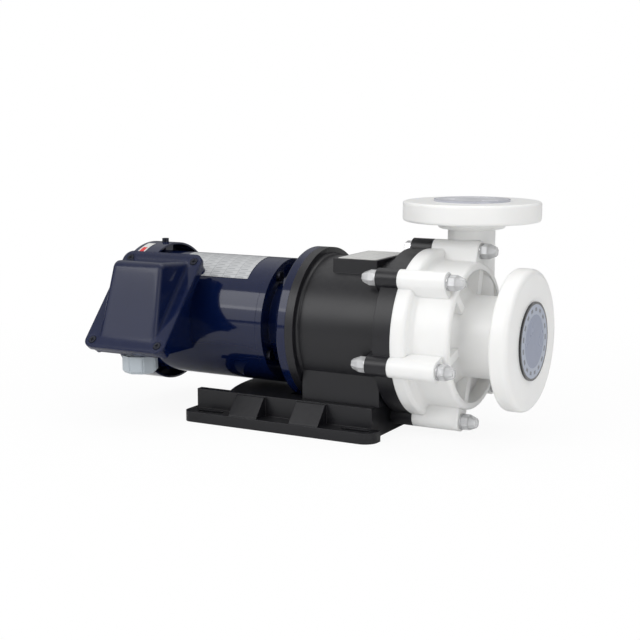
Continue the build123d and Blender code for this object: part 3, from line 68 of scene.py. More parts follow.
class PumpFinishes(PropertyGroup):
    """Colours of the moulded, painted and machined pieces."""

    casing: colour_property(
        "Casing", "Natural plastic of the wet end", (0.86, 0.86, 0.85)
    )
    # Painted shade: a darker, warmer colour meant for the hollows of the casing, where shade falls; no finish
    # in this script reads it.
    casing_hollow_painted_shade: colour_property(
        "Casing shade", "Warmer tone in the hollows of the casing", (0.78, 0.765, 0.73)
    )
    bracket: colour_property(
        "Bracket", "Black moulded bracket and base", (0.006, 0.006, 0.008)
    )
    paint: colour_property("Paint", "Navy motor paint", (0.0016, 0.0055, 0.032))
    gland: colour_property("Gland", "Light grey gland plastic", (0.46, 0.51, 0.55))
    cap: colour_property("Nut caps", "Translucent nut caps", (0.97, 0.975, 0.985))
    steel: colour_property("Steel", "Bright fastener steel", (0.62, 0.62, 0.63))
    grain_depth: FloatProperty(
        name="Grain depth",
        description="Height of the moulded grain",
        default=0.00005,
        unit="LENGTH",
        precision=5,
    )
    edge_radius: FloatProperty(
        name="Edge radius",
        description="Radius that softens machined and moulded edges",
        default=0.0009,
        unit="LENGTH",
        precision=4,
    )


class PumpPrint(PropertyGroup):
    """Printed plates, labels and port covers."""

    plate: colour_property("Plate", "Silver nameplate ground", (0.56, 0.57, 0.58))
    label: colour_property("Label", "White label ground", (0.68, 0.68, 0.66))
    ink: colour_property("Ink", "Grey printing ink", (0.09, 0.1, 0.12))
    stripe: colour_property("Stripe", "Red stripe of the rotation label", (0.62, 0.03, 0.03))
    cover_centre: colour_property(
        "Cover centre", "Blue grey middle of the suction cover", (0.17, 0.2, 0.29)
    )
    cover_band: colour_property("Cover band", "Pale band of the suction cover", (0.3, 0.34, 0.43))
    cover_tick: colour_property("Cover ticks", "Small ticks in that band", (0.1, 0.11, 0.14))
    cover_rim: colour_property("Cover rim", "Black edge of the suction cover", (0.008, 0.008, 0.01))
    top_ground: colour_property("Top cover", "Ground of the discharge cover", (0.84, 0.85, 0.9))
    top_mark: colour_property("Top rim", "Rim of that cover", (0.5, 0.51, 0.57))
    top_tick: colour_property("Top ticks", "Ticks of that cover", (0.72, 0.73, 0.79))
    row_pitch: FloatProperty(
        name="Row pitch",
        description="Distance between the printed rows",
        default=0.0058,
        unit="LENGTH",
        precision=4,
    )
    column_pitch: FloatProperty(
        name="Column pitch",
        description="Distance between the printed columns",
        default=0.0158,
        unit="LENGTH",
        precision=4,
    )


class PumpStudio(PropertyGroup):
    """Camera, lamps and floor."""

    camera_place: FloatVectorProperty(
        name="Camera place",
        description="Where the camera stands",
        default=(0.6649, -1.2178, 0.3268),
        size=3,
        subtype="XYZ",
        unit="LENGTH",
    )
    camera_azimuth: FloatProperty(
        name="Camera azimuth",
        description="Turn of the camera round the pump",
        default=radians(28.56),
        subtype="ANGLE",
    )
    camera_drop: FloatProperty(
        name="Camera drop",
        description="How far the camera looks down",
        default=radians(9.18),
        subtype="ANGLE",
    )
    lens: FloatProperty(
        name="Lens",
        description="Focal length in millimetres",
        default=75.29,
        min=10.0,
    )
    key_power: FloatProperty(
        name="Key power",
        description="Power of the main softbox",
        default=16.5,
        unit="POWER",
    )
    fill_power: FloatProperty(
        name="Fill power",
        description="Power of the fill softbox",
        default=9.5,
        unit="POWER",
    )
    side_power: FloatProperty(
        name="Side power",
        description="Power of the low softbox that the wedge of the terminal cover mirrors",
        default=3.6,
        unit="POWER",
    )
    world_level: FloatProperty(
        name="World level",
        description="Level of the soft surroundings",
        default=0.74,
        min=0.0,
    )
    floor_size: FloatProperty(
        name="Floor size",
        description="Width of the floor",
        default=12.0,
        unit="LENGTH",
    )


# Shader building


class Tree:
    """A node tree with short calls to add and join nodes."""

    def __init__(self, tree):
        self.tree = tree

    def add(self, kind, **settings):
        """Adds a node; names of sockets hold values or the sockets that feed them."""
        node = self.tree.nodes.new(kind)
        feeds = settings.pop("feeds", {})
        for name, value in settings.items():
            setattr(node, name, value)
        for name, value in feeds.items():
            self.feed(node.inputs[name], value)
        return node

    def feed(self, socket, value):
        """Sets a socket's value, or links it to an output."""
        if isinstance(value, bpy.types.NodeSocket):
            self.tree.links.new(value, socket)
        elif isinstance(value, (tuple, list)) and len(value) == 3 and socket.type == "RGBA":
            socket.default_value = (*value, 1.0)
        else:
            socket.default_value = value

    def math(self, operation, first, second=0.0, clamp=False):
        """A Math node's output."""
        return self.add(
            "ShaderNodeMath",
            operation=operation,
            use_clamp=clamp,
            feeds={0: first, 1: second},
        ).outputs[0]

    def mix(self, factor, first, second):
        """A colour between two colours."""
        node = self.add("ShaderNodeMix", data_type="RGBA")
        self.feed(node.inputs[0], factor)
        self.feed(node.inputs[6], first)
        self.feed(node.inputs[7], second)
        return node.outputs[2]

    def between(self, value, low, high):
        """A mask that goes from 0 at low to 1 at high."""
        node = self.add(
            "ShaderNodeMapRange",
            feeds={"Value": value, "From Min": low, "From Max": high},
        )
        return node.outputs["Result"]


def new_group(name, inputs, outputs):
    """A shader group with named sockets, its tree and its two ends."""
    group = bpy.data.node_groups.new(name, "ShaderNodeTree")
    for socket, kind, default in inputs:
        made = group.interface.new_socket(socket, in_out="INPUT", socket_type=kind)
        if default is not None:
            made.default_value = default
    for socket, kind in outputs:
        group.interface.new_socket(socket, in_out="OUTPUT", socket_type=kind)
    tree = Tree(group)
    return group, tree, tree.add("NodeGroupInput"), tree.add("NodeGroupOutput")


def soft_edges_group():
    """Rounded edge normals and a mask of the worn edges."""
    group, tree, ends, out = new_group(
        "soft_edges",
        [("Radius", "NodeSocketFloat", 0.001), ("Wear", "NodeSocketFloat", 1.0)],
        [("Normal", "NodeSocketVector"), ("Edge", "NodeSocketFloat")],
    )
    bevel = tree.add("ShaderNodeBevel", samples=4, feeds={"Radius": ends.outputs["Radius"]})
    surface = tree.add("ShaderNodeNewGeometry")
    likeness = tree.add(
        "ShaderNodeVectorMath",
        operation="DOT_PRODUCT",
        feeds={0: bevel.outputs["Normal"], 1: surface.outputs["Normal"]},
    ).outputs["Value"]
    turn = tree.math("SUBTRACT", 1.0, likeness)
    strength = tree.math("MULTIPLY", ends.outputs["Wear"], 3.0)
    tree.feed(out.inputs["Normal"], bevel.outputs["Normal"])
    tree.feed(out.inputs["Edge"], tree.math("MULTIPLY", turn, strength, clamp=True))
    return group


def grain_group():
    """Fine surface grain as a height, and a slow drift as a mask."""
    group, tree, ends, out = new_group(
        "moulded_grain",
        [("Grain size", "NodeSocketFloat", 0.001), ("Drift size", "NodeSocketFloat", 0.05)],
        [("Height", "NodeSocketFloat"), ("Drift", "NodeSocketFloat")],
    )
    place = tree.add("ShaderNodeTexCoord").outputs["Object"]
    fine_scale = tree.math("DIVIDE", 1.0, ends.outputs["Grain size"])
    slow_scale = tree.math("DIVIDE", 1.0, ends.outputs["Drift size"])
    fine = tree.add(
        "ShaderNodeTexNoise",
        feeds={"Vector": place, "Scale": fine_scale, "Detail": 2.0, "Roughness": 0.6},
    )
    slow = tree.add(
        "ShaderNodeTexNoise",
        feeds={"Vector": place, "Scale": slow_scale, "Detail": 3.0, "Roughness": 0.5},
    )
    tree.feed(out.inputs["Height"], fine.outputs["Fac"])
    tree.feed(out.inputs["Drift"], tree.between(slow.outputs["Fac"], 0.3, 0.7))
    return group


def dust_group():
    """Faint dust that settles on faces that look up."""
    group, tree, ends, out = new_group(
        "settled_dust",
        [("Amount", "NodeSocketFloat", 0.2), ("Speck size", "NodeSocketFloat", 0.004)],
        [("Dust", "NodeSocketFloat")],
    )
    up = tree.add("ShaderNodeSeparateXYZ", feeds={0: tree.add("ShaderNodeNewGeometry").outputs["Normal"]})
    facing = tree.between(up.outputs["Z"], 0.3, 1.0)
    place = tree.add("ShaderNodeTexCoord").outputs["Object"]
    scale = tree.math("DIVIDE", 1.0, ends.outputs["Speck size"])
    specks = tree.add(
        "ShaderNodeTexNoise", feeds={"Vector": place, "Scale": scale, "Detail": 4.0}
    )
    patchy = tree.between(specks.outputs["Fac"], 0.35, 0.75)
    shared = tree.math("MULTIPLY", facing, patchy)
    tree.feed(out.inputs["Dust"], tree.math("MULTIPLY", shared, ends.outputs["Amount"]))
    return group


def rings_group():
    """Bands round a disc, from its local X and Y."""
    group, tree, ends, out = new_group(
        "disc_bands",
        [
            ("Place", "NodeSocketVector", None),
            ("Rim from", "NodeSocketFloat", 0.035),
            ("Band from", "NodeSocketFloat", 0.025),
            ("Ticks", "NodeSocketFloat", 24.0),
        ],
        [
            ("Rim", "NodeSocketFloat"),
            ("Band", "NodeSocketFloat"),
            ("Tick", "NodeSocketFloat"),
        ],
    )
    split = tree.add("ShaderNodeSeparateXYZ", feeds={0: ends.outputs["Place"]})
    across, along = split.outputs["X"], split.outputs["Y"]
    radius = tree.math(
        "SQRT",
        tree.math(
            "ADD",
            tree.math("MULTIPLY", across, across),
            tree.math("MULTIPLY", along, along),
        ),
    )
    rim = tree.math("GREATER_THAN", radius, ends.outputs["Rim from"])
    band = tree.math("GREATER_THAN", radius, ends.outputs["Band from"])
    angle = tree.math("ARCTAN2", along, across)
    turns = tree.math("MULTIPLY", angle, ends.outputs["Ticks"])
    middle = tree.math(
        "MULTIPLY",
        tree.math("ADD", ends.outputs["Rim from"], ends.outputs["Band from"]),
        0.5,
    )
    off_middle = tree.math("ABSOLUTE", tree.math("SUBTRACT", radius, middle))
    near_middle = tree.math("LESS_THAN", off_middle, 0.0018)
    tick = tree.math("GREATER_THAN", tree.math("SINE", turns), 0.1)
    tree.feed(out.inputs["Rim"], rim)
    tree.feed(out.inputs["Band"], band)
    tree.feed(out.inputs["Tick"], tree.math("MULTIPLY", tick, near_middle))
    return group


def print_rows_group():
    """Ruled table lines and short printed dashes on a flat X and Y."""
    group, tree, ends, out = new_group(
        "printed_table",
        [
            ("Across", "NodeSocketFloat", 0.0),
            ("Along", "NodeSocketFloat", 0.0),
            ("Row pitch", "NodeSocketFloat", 0.006),
            ("Column pitch", "NodeSocketFloat", 0.016),
        ],
        [("Line", "NodeSocketFloat"), ("Dash", "NodeSocketFloat")],
    )
    row = tree.math("FRACT", tree.math("DIVIDE", ends.outputs["Along"], ends.outputs["Row pitch"]))
    column = tree.math(
        "FRACT", tree.math("DIVIDE", ends.outputs["Across"], ends.outputs["Column pitch"])
    )
    row_line = tree.math("LESS_THAN", row, 0.07)
    column_line = tree.math("LESS_THAN", column, 0.03)
    in_row = tree.math(
        "LESS_THAN", tree.math("ABSOLUTE", tree.math("SUBTRACT", row, 0.52)), 0.16
    )
    letters = tree.math(
        "SINE", tree.math("MULTIPLY", ends.outputs["Across"], 5200.0)
    )
    dashes = tree.math("GREATER_THAN", letters, -0.1)
    short = tree.math("LESS_THAN", column, 0.62)
    inside = tree.math("GREATER_THAN", column, 0.1)
    words = tree.math("MULTIPLY", tree.math("MULTIPLY", in_row, dashes), tree.math("MULTIPLY", short, inside))
    tree.feed(out.inputs["Line"], tree.math("MAXIMUM", row_line, column_line))
    tree.feed(out.inputs["Dash"], words)
    return group


groups = {}


def group_node(tree, name, **feeds):
    """Places a shared effect in a material."""
    node = tree.add("ShaderNodeGroup", node_tree=groups[name])
    for socket, value in feeds.items():
        tree.feed(node.inputs[socket.replace("_", " ").capitalize()], value)
    return node


def shared_effects():
    """Builds each shared effect once."""
    if not groups:
        groups["edges"] = soft_edges_group()
        groups["grain"] = grain_group()
        groups["dust"] = dust_group()
        groups["rings"] = rings_group()
        groups["table"] = print_rows_group()


def new_finish(name, **sockets):
    """A material with an emptied tree, its Principled shader and constants set on it."""
    shared_effects()
    material = bpy.data.materials.new(name)
    material.use_nodes = True
    material.node_tree.nodes.clear()
    tree = Tree(material.node_tree)
    shader = tree.add("ShaderNodeBsdfPrincipled")
    output = tree.add("ShaderNodeOutputMaterial")
    tree.feed(output.inputs["Surface"], shader.outputs["BSDF"])
    for socket, value in sockets.items():
        tree.feed(shader.inputs[socket.replace("_", " ")], value)
    return material, tree, shader


def rounded_bump(tree, shader, height, depth, radius, wear=1.0):
    """Softens edges and lays a fine height over them; gives the edge mask."""
    edges = group_node(tree, "edges", Radius=radius, Wear=wear)
    bump = tree.add(
        "ShaderNodeBump",
        feeds={"Height": height, "Distance": depth, "Normal": edges.outputs["Normal"]},
    )
    tree.feed(shader.inputs["Normal"], bump.outputs["Normal"])
    return edges.outputs["Edge"]


def plastic_finish(name, base, shade, edge, roughness, grain_size, depth, radius, dust=0.0, **sockets):
    """Moulded plastic with a slow drift of tone, grain and paler edges."""
    material, tree, shader = new_finish(name, **sockets)
    grain = group_node(tree, "grain", Grain_size=grain_size, Drift_size=0.06)
    worn = rounded_bump(tree, shader, grain.outputs["Height"], depth, radius)
    drift = tree.mix(grain.outputs["Drift"], base, shade)
    colour = tree.mix(tree.math("MULTIPLY", worn, 0.5), drift, edge)
    if dust > 0:
        settled = group_node(tree, "dust", Amount=dust, Speck_size=0.006)
        colour = tree.mix(settled.outputs["Dust"], colour, (0.45, 0.44, 0.42))
    tree.feed(shader.inputs["Base Color"], colour)
    shiny = tree.between(grain.outputs["Drift"], -1.0, 2.0)
    spread = tree.add(
        "ShaderNodeMapRange",
        feeds={"Value": shiny, "To Min": roughness * 0.85, "To Max": roughness * 1.15},
    )
    tree.feed(shader.inputs["Roughness"], spread.outputs["Result"])
    return material


def metal_finish(name, base, shade, roughness, grain_size, depth, radius, **sockets):
    """Bare metal with fine machining marks and brighter edges."""
    material, tree, shader = new_finish(name, Metallic=1.0, **sockets)
    grain = group_node(tree, "grain", Grain_size=grain_size, Drift_size=0.02)
    worn = rounded_bump(tree, shader, grain.outputs["Height"], depth, radius)
    tone = tree.mix(grain.outputs["Drift"], base, shade)
    bright = tuple(min(1.0, value * 1.25) for value in base)
    tree.feed(shader.inputs["Base Color"], tree.mix(worn, tone, bright))
    spread = tree.add(
        "ShaderNodeMapRange",
        feeds={
            "Value": grain.outputs["Drift"],
            "To Min": roughness * 0.8,
            "To Max": roughness * 1.25,
        },
    )
    tree.feed(shader.inputs["Roughness"], spread.outputs["Result"])
    return material


def dress(material, *nodes):
    """Gives CAD nodes their finish."""
    for name in nodes:
        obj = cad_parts[name]
        if not obj.material_slots:
            raise RuntimeError(f"{name} has no material slot")
        for place in obj.material_slots:
            place.material = material


def scaled(colour, share):
    """A colour made darker or lighter by a share."""
    return tuple(min(1.0, value * share) for value in colour)


def rgb(swatch):
    """A colour property as a plain tuple."""
    return tuple(swatch)


# Operators


class DressCasing(Operator):
    """Natural plastic of the casing and the other wetted mouldings"""

    bl_idname = "pump.dress_casing"
    bl_label = "Dress casing"

    def execute(self, context):
        look = context.scene.pump_finishes
        white = plastic_finish(
            "natural_plastic",
            rgb(look.casing),
            scaled(rgb(look.casing), 0.97),
            scaled(rgb(look.casing), 1.05),
            roughness=0.34,
            grain_size=0.0022,
            depth=look.grain_depth * 0.6,
            radius=look.edge_radius * 2.2,
            Specular_IOR_Level=0.45,
            Subsurface_Weight=0.12,
            Subsurface_Scale=0.01,
            Subsurface_Radius=(1.0, 0.9, 0.75),
        )
        dress(white, "front_casing", "impeller", "magnet_capsule", "containment_can")
        return {"FINISHED"}


class DressBracket(Operator):
    """Black moulded plastic of the bracket, base and fan"""

    bl_idname = "pump.dress_bracket"
    bl_label = "Dress bracket and base"

    def execute(self, context):
        look = context.scene.pump_finishes
        black = plastic_finish(
            "black_plastic",
            rgb(look.bracket),
            scaled(rgb(look.bracket), 1.25),
            scaled(rgb(look.bracket), 3.5),
            roughness=0.36,
            grain_size=0.0009,
            depth=look.grain_depth,
            radius=look.edge_radius,
            dust=0.02,
            Specular_IOR_Level=0.42,
        )
        dress(black, "bracket", "base", "cooling_fan")
        return {"FINISHED"}


class DressMotor(Operator):
    """Gloss navy paint of the motor and terminal box"""

    bl_idname = "pump.dress_motor"
    bl_label = "Dress motor"

    def paint(self, name, look, radius):
        """Gloss paint with a slow drift, faint peel and paler edges."""
        material, tree, shader = new_finish(
            name, Coat_Weight=0.3, Coat_Roughness=0.04, Specular_IOR_Level=0.25
        )
        peel = group_node(tree, "grain", Grain_size=0.006, Drift_size=0.12)
        worn = rounded_bump(
            tree, shader, peel.outputs["Height"], look.grain_depth * 0.5, radius, wear=0.6
        )
        settled = group_node(tree, "dust", Amount=0.02, Speck_size=0.01)
        base = rgb(look.paint)
        drift = tree.mix(peel.outputs["Drift"], base, scaled(base, 1.25))
        edged = tree.mix(tree.math("MULTIPLY", worn, 0.4), drift, scaled(base, 2.5))
        dusty = tree.mix(settled.outputs["Dust"], edged, (0.3, 0.32, 0.36))
        tree.feed(shader.inputs["Base Color"], dusty)
        spread = tree.add(
            "ShaderNodeMapRange",
            feeds={"Value": peel.outputs["Drift"], "To Min": 0.09, "To Max": 0.15},
        )
        tree.feed(shader.inputs["Roughness"], spread.outputs["Result"])
        return material

    def execute(self, context):
        look = context.scene.pump_finishes
        cast = self.paint("navy_paint", look, look.edge_radius * 1.1)
        dress(
            cast,
            "motor_shell",
            "drive_end_shield",
            "rear_end_shield",
            "fan_cover",
            "terminal_box",
        )
        pressed = self.paint("navy_paint_on_pressed_sheet", look, look.edge_radius * 8)
        dress(pressed, "terminal_cover")
        return {"FINISHED"}


class DressHardware(Operator):
    """Bright steel of the screws, studs, washers, nuts and shaft"""

    bl_idname = "pump.dress_hardware"
    bl_label = "Dress hardware"

    def execute(self, context):
        look = context.scene.pump_finishes
        bright = metal_finish(
            "stainless_steel",
            rgb(look.steel),
            scaled(rgb(look.steel), 0.8),
            roughness=0.28,
            grain_size=0.0007,
            depth=look.grain_depth * 0.4,
            radius=look.edge_radius * 0.4,
        )
        dress(
            bright,
            "casing_studs",
            "casing_washers",
            "casing_nuts",
            "base_screws",
            "board_screws",
            "hub_set_screw",
            "drive_key",
            "fan_clip",
            "preload_washer",
            "motor_shaft",
        )
        dark = metal_finish(
            "blackened_steel",
            (0.05, 0.055, 0.07),
            (0.03, 0.03, 0.04),
            roughness=0.35,
            grain_size=0.0008,
            depth=look.grain_depth * 0.4,
            radius=look.edge_radius * 0.4,
        )
        dress(
            dark,
            "fan_cover_screws",
            "terminal_cover_screws",
            "tie_bolts",
            "flange_bolts",
            "flange_washers",
        )
        ground = metal_finish(
            "ground_steel",
            (0.7, 0.7, 0.72),
            (0.6, 0.6, 0.62),
            roughness=0.14,
            grain_size=0.0006,
            depth=look.grain_depth * 0.2,
            radius=look.edge_radius * 0.3,
        )
        dress(ground, "bearing_outer_rings", "bearing_inner_rings", "bearing_balls")
        return {"FINISHED"}


class DressNutCaps(Operator):
    """Translucent plastic of the nut caps"""

    bl_idname = "pump.dress_nut_caps"
    bl_label = "Dress nut caps"

    def execute(self, context):
        look = context.scene.pump_finishes
        material, tree, shader = new_finish(
            "translucent_cap_plastic",
            Transmission_Weight=0.6,
            IOR=1.35,
            Specular_IOR_Level=0.6,
        )
        grain = group_node(tree, "grain", Grain_size=0.002, Drift_size=0.006)
        worn = rounded_bump(
            tree,
            shader,
            grain.outputs["Height"],
            look.grain_depth,
            look.edge_radius * 0.8,
        )
        cloudy = tree.mix(
            grain.outputs["Drift"], rgb(look.cap), scaled(rgb(look.cap), 0.9)
        )
        tree.feed(shader.inputs["Base Color"], tree.mix(worn, cloudy, (0.95, 0.95, 0.96)))
        spread = tree.add(
            "ShaderNodeMapRange",
            feeds={"Value": grain.outputs["Drift"], "To Min": 0.1, "To Max": 0.16},
        )
        tree.feed(shader.inputs["Roughness"], spread.outputs["Result"])
        dress(material, "casing_nut_caps")
        return {"FINISHED"}


class DressInside(Operator):
    """Finishes of the inner works of pump, motor and terminal box"""

    bl_idname = "pump.dress_inside"
    bl_label = "Dress inner works"

    def execute(self, context):
        look = context.scene.pump_finishes
        depth = look.grain_depth
        radius = look.edge_radius * 0.5
        ceramic = plastic_finish(
            "cream_ceramic", (0.75, 0.72, 0.62), (0.7, 0.66, 0.56), (0.8, 0.78, 0.7),
            0.18, 0.002, depth * 0.3, radius,
        )
        carbon = plastic_finish(
            "filled_carbon", (0.02, 0.02, 0.022), (0.03, 0.03, 0.03), (0.06, 0.06, 0.06),
            0.45, 0.0006, depth * 0.5, radius,
        )
        rubber = plastic_finish(
            "black_rubber", (0.012, 0.012, 0.012), (0.02, 0.02, 0.02), (0.03, 0.03, 0.03),
            0.6, 0.0006, depth * 0.8, radius,
        )
        resin = plastic_finish(
            "board_resin", (0.03, 0.026, 0.02), (0.045, 0.035, 0.03), (0.08, 0.07, 0.06),
            0.3, 0.001, depth * 0.5, radius,
        )
        varnish = plastic_finish(
            "varnished_copper_wire", (0.42, 0.16, 0.05), (0.3, 0.1, 0.03), (0.55, 0.25, 0.1),
            0.3, 0.0016, depth * 8, radius, Metallic=0.6,
        )
        grey = plastic_finish(
            "grey_gland_plastic", rgb(look.gland), scaled(rgb(look.gland), 0.94),
            scaled(rgb(look.gland), 1.12), 0.38, 0.0012, depth, look.edge_radius * 0.8,
        )
        magnet = metal_finish(
            "sintered_magnet", (0.22, 0.22, 0.23), (0.15, 0.15, 0.16), 0.42, 0.0006, depth, radius,
        )
        iron = metal_finish(
            "machined_iron", (0.2, 0.2, 0.2), (0.12, 0.12, 0.12), 0.5, 0.0012, depth * 3, radius,
        )
        sheets = metal_finish(
            "core_sheets", (0.34, 0.34, 0.35), (0.24, 0.24, 0.25), 0.4, 0.0005, depth * 2, radius,
        )
        alloy = metal_finish(
            "cast_alloy", (0.66, 0.67, 0.68), (0.55, 0.56, 0.57), 0.4, 0.0015, depth * 2, radius,
        )
        brass = metal_finish(
            "turned_brass", (0.72, 0.52, 0.2), (0.6, 0.42, 0.15), 0.26, 0.0008, depth * 0.5, radius,
        )
        dress(ceramic, "spindle", "rear_thrust_ring", "liner_ring")
        dress(carbon, "bearing_bush", "mouth_ring")
        dress(rubber, "casing_seal_ring", "terminal_gasket", "gland_seal")
        dress(resin, "terminal_board")
        dress(varnish, "end_windings")
        dress(grey, "gland_body", "gland_nut", "gland_locknut")
        dress(magnet, "inner_magnets", "drive_magnets")
        dress(iron, "drive_magnet_cup")
        dress(sheets, "stator_core", "rotor_core")
        dress(alloy, "rotor_end_rings")
        dress(brass, "terminal_studs", "terminal_nuts")
        return {"FINISHED"}


class PrintPortCovers(Operator):
    """Banded discs that close the suction and discharge ports"""

    bl_idname = "pump.print_port_covers"
    bl_label = "Print port covers"

    def cover(self, name, centre, turn, colours, rim_from, band_from):
        """A banded disc finish, with the bands laid in the disc's own plane."""
        rim, band, tick, middle = colours
        material, tree, shader = new_finish(
            name, Specular_IOR_Level=0.5, Coat_Weight=0.3, Coat_Roughness=0.1
        )
        place = tree.add("ShaderNodeTexCoord").outputs["Object"]
        flat = tree.add(
            "ShaderNodeMapping",
            vector_type="TEXTURE",
            feeds={"Vector": place, "Location": tuple(centre), "Rotation": turn},
        )
        bands = group_node(
            tree,
            "rings",
            Place=flat.outputs["Vector"],
            Rim_from=rim_from,
            Band_from=band_from,
            Ticks=17.0,
        )
        grain = group_node(tree, "grain", Grain_size=0.003, Drift_size=0.03)
        rounded_bump(tree, shader, grain.outputs["Height"], 0.00002, 0.0006)
        ground = tree.mix(grain.outputs["Drift"], middle, scaled(middle, 1.12))
        ringed = tree.mix(bands.outputs["Band"], ground, band)
        ticked = tree.mix(bands.outputs["Tick"], ringed, tick)
        tree.feed(shader.inputs["Base Color"], tree.mix(bands.outputs["Rim"], ticked, rim))
        spread = tree.add(
            "ShaderNodeMapRange",
            feeds={"Value": grain.outputs["Drift"], "To Min": 0.2, "To Max": 0.3},
        )
        tree.feed(shader.inputs["Roughness"], spread.outputs["Result"])
        return material

    def execute(self, context):
        look = context.scene.pump_print
        suction = self.cover(
            "suction_cover_print",
            (suction_low + suction_high) / 2,
            (0.0, radians(90.0), 0.0),
            (rgb(look.cover_rim), rgb(look.cover_band), rgb(look.cover_tick), rgb(look.cover_centre)),
            0.0362,
            0.0262,
        )
        dress(suction, "suction_port_cover")
        discharge = self.cover(
            "discharge_cover_print",
            (discharge_low + discharge_high) / 2,
            (0.0, 0.0, 0.0),
            (rgb(look.top_mark), rgb(look.top_ground), rgb(look.top_tick), rgb(look.top_ground)),
            0.0372,
            0.0262,
        )
        dress(discharge, "discharge_port_cover")
        return {"FINISHED"}


class PrintPlates(Operator):
    """Nameplates and the rotation label, with ruled lines and no words"""

    bl_idname = "pump.print_plates"
    bl_label = "Print plates"

    def ruled(self, name, base, ink, across, along_axis, rows, columns, share, **sockets):
        """A ruled plate; the rows run round or across the pump."""
        material, tree, shader = new_finish(name, **sockets)
        place = tree.add("ShaderNodeTexCoord").outputs["Object"]
        split = tree.add("ShaderNodeSeparateXYZ", feeds={0: place})
        if along_axis == "wrap":
            lift = tree.math("SUBTRACT", split.outputs["Z"], shaft_height)
            angle = tree.math("ARCTAN2", split.outputs["Y"], lift)
            along = tree.math("MULTIPLY", angle, 0.066)
        else:
            along = split.outputs[along_axis]
        start = tree.math("SUBTRACT", split.outputs["X"], across)
        table = group_node(
            tree, "table", Across=start, Along=along, Row_pitch=rows, Column_pitch=columns
        )
        grain = group_node(tree, "grain", Grain_size=0.0008, Drift_size=0.04)
        rounded_bump(tree, shader, grain.outputs["Height"], 0.00002, 0.0003)
        ground = tree.mix(grain.outputs["Drift"], base, scaled(base, 0.93))
        lined = tree.mix(tree.math("MULTIPLY", table.outputs["Line"], share), ground, ink)
        words = tree.math("MULTIPLY", table.outputs["Dash"], share)
        tree.feed(shader.inputs["Base Color"], tree.mix(words, lined, ink))
        spread = tree.add(
            "ShaderNodeMapRange",
            feeds={"Value": grain.outputs["Drift"], "To Min": 0.3, "To Max": 0.42},
        )
        tree.feed(shader.inputs["Roughness"], spread.outputs["Result"])
        return material

    def execute(self, context):
        look = context.scene.pump_print
        silver = self.ruled(
            "silver_nameplate", rgb(look.plate), rgb(look.ink), plate_low.x, "wrap",
            look.row_pitch, look.column_pitch, 0.7, Metallic=0.35,
        )
        dress(silver, "motor_nameplate")
        white = self.ruled(
            "white_pad_label", rgb(look.label), rgb(look.ink), pad_low.x, "Y",
            look.row_pitch * 2.2, look.column_pitch, 0.35, Specular_IOR_Level=0.4,
        )
        dress(white, "bracket_nameplate")
        material, tree, shader = new_finish("rotation_label_print", Specular_IOR_Level=0.4)
        place = tree.add("ShaderNodeTexCoord").outputs["Object"]
        split = tree.add("ShaderNodeSeparateXYZ", feeds={0: place})
        lift = tree.math("SUBTRACT", split.outputs["Z"], shaft_height)
        angle = tree.math("ARCTAN2", split.outputs["Y"], lift)
        grain = group_node(tree, "grain", Grain_size=0.0008, Drift_size=0.03)
        rounded_bump(tree, shader, grain.outputs["Height"], 0.00002, 0.0003)
        middle = (label_low.x + label_high.x) / 2
        off = tree.math("ABSOLUTE", tree.math("SUBTRACT", split.outputs["X"], middle))
        first = tree.math("LESS_THAN", tree.math("ABSOLUTE", tree.math("ADD", angle, 0.46)), 0.12)
        slim = tree.math("LESS_THAN", off, 0.0028)
        stripe = tree.math("MULTIPLY", first, slim)
        ground = tree.mix(grain.outputs["Drift"], rgb(look.label), scaled(rgb(look.label), 0.95))
        tree.feed(shader.inputs["Base Color"], tree.mix(stripe, ground, rgb(look.stripe)))
        spread = tree.add(
            "ShaderNodeMapRange",
            feeds={"Value": grain.outputs["Drift"], "To Min": 0.35, "To Max": 0.45},
        )
        tree.feed(shader.inputs["Roughness"], spread.outputs["Result"])
        dress(material, "rotation_label")
        return {"FINISHED"}


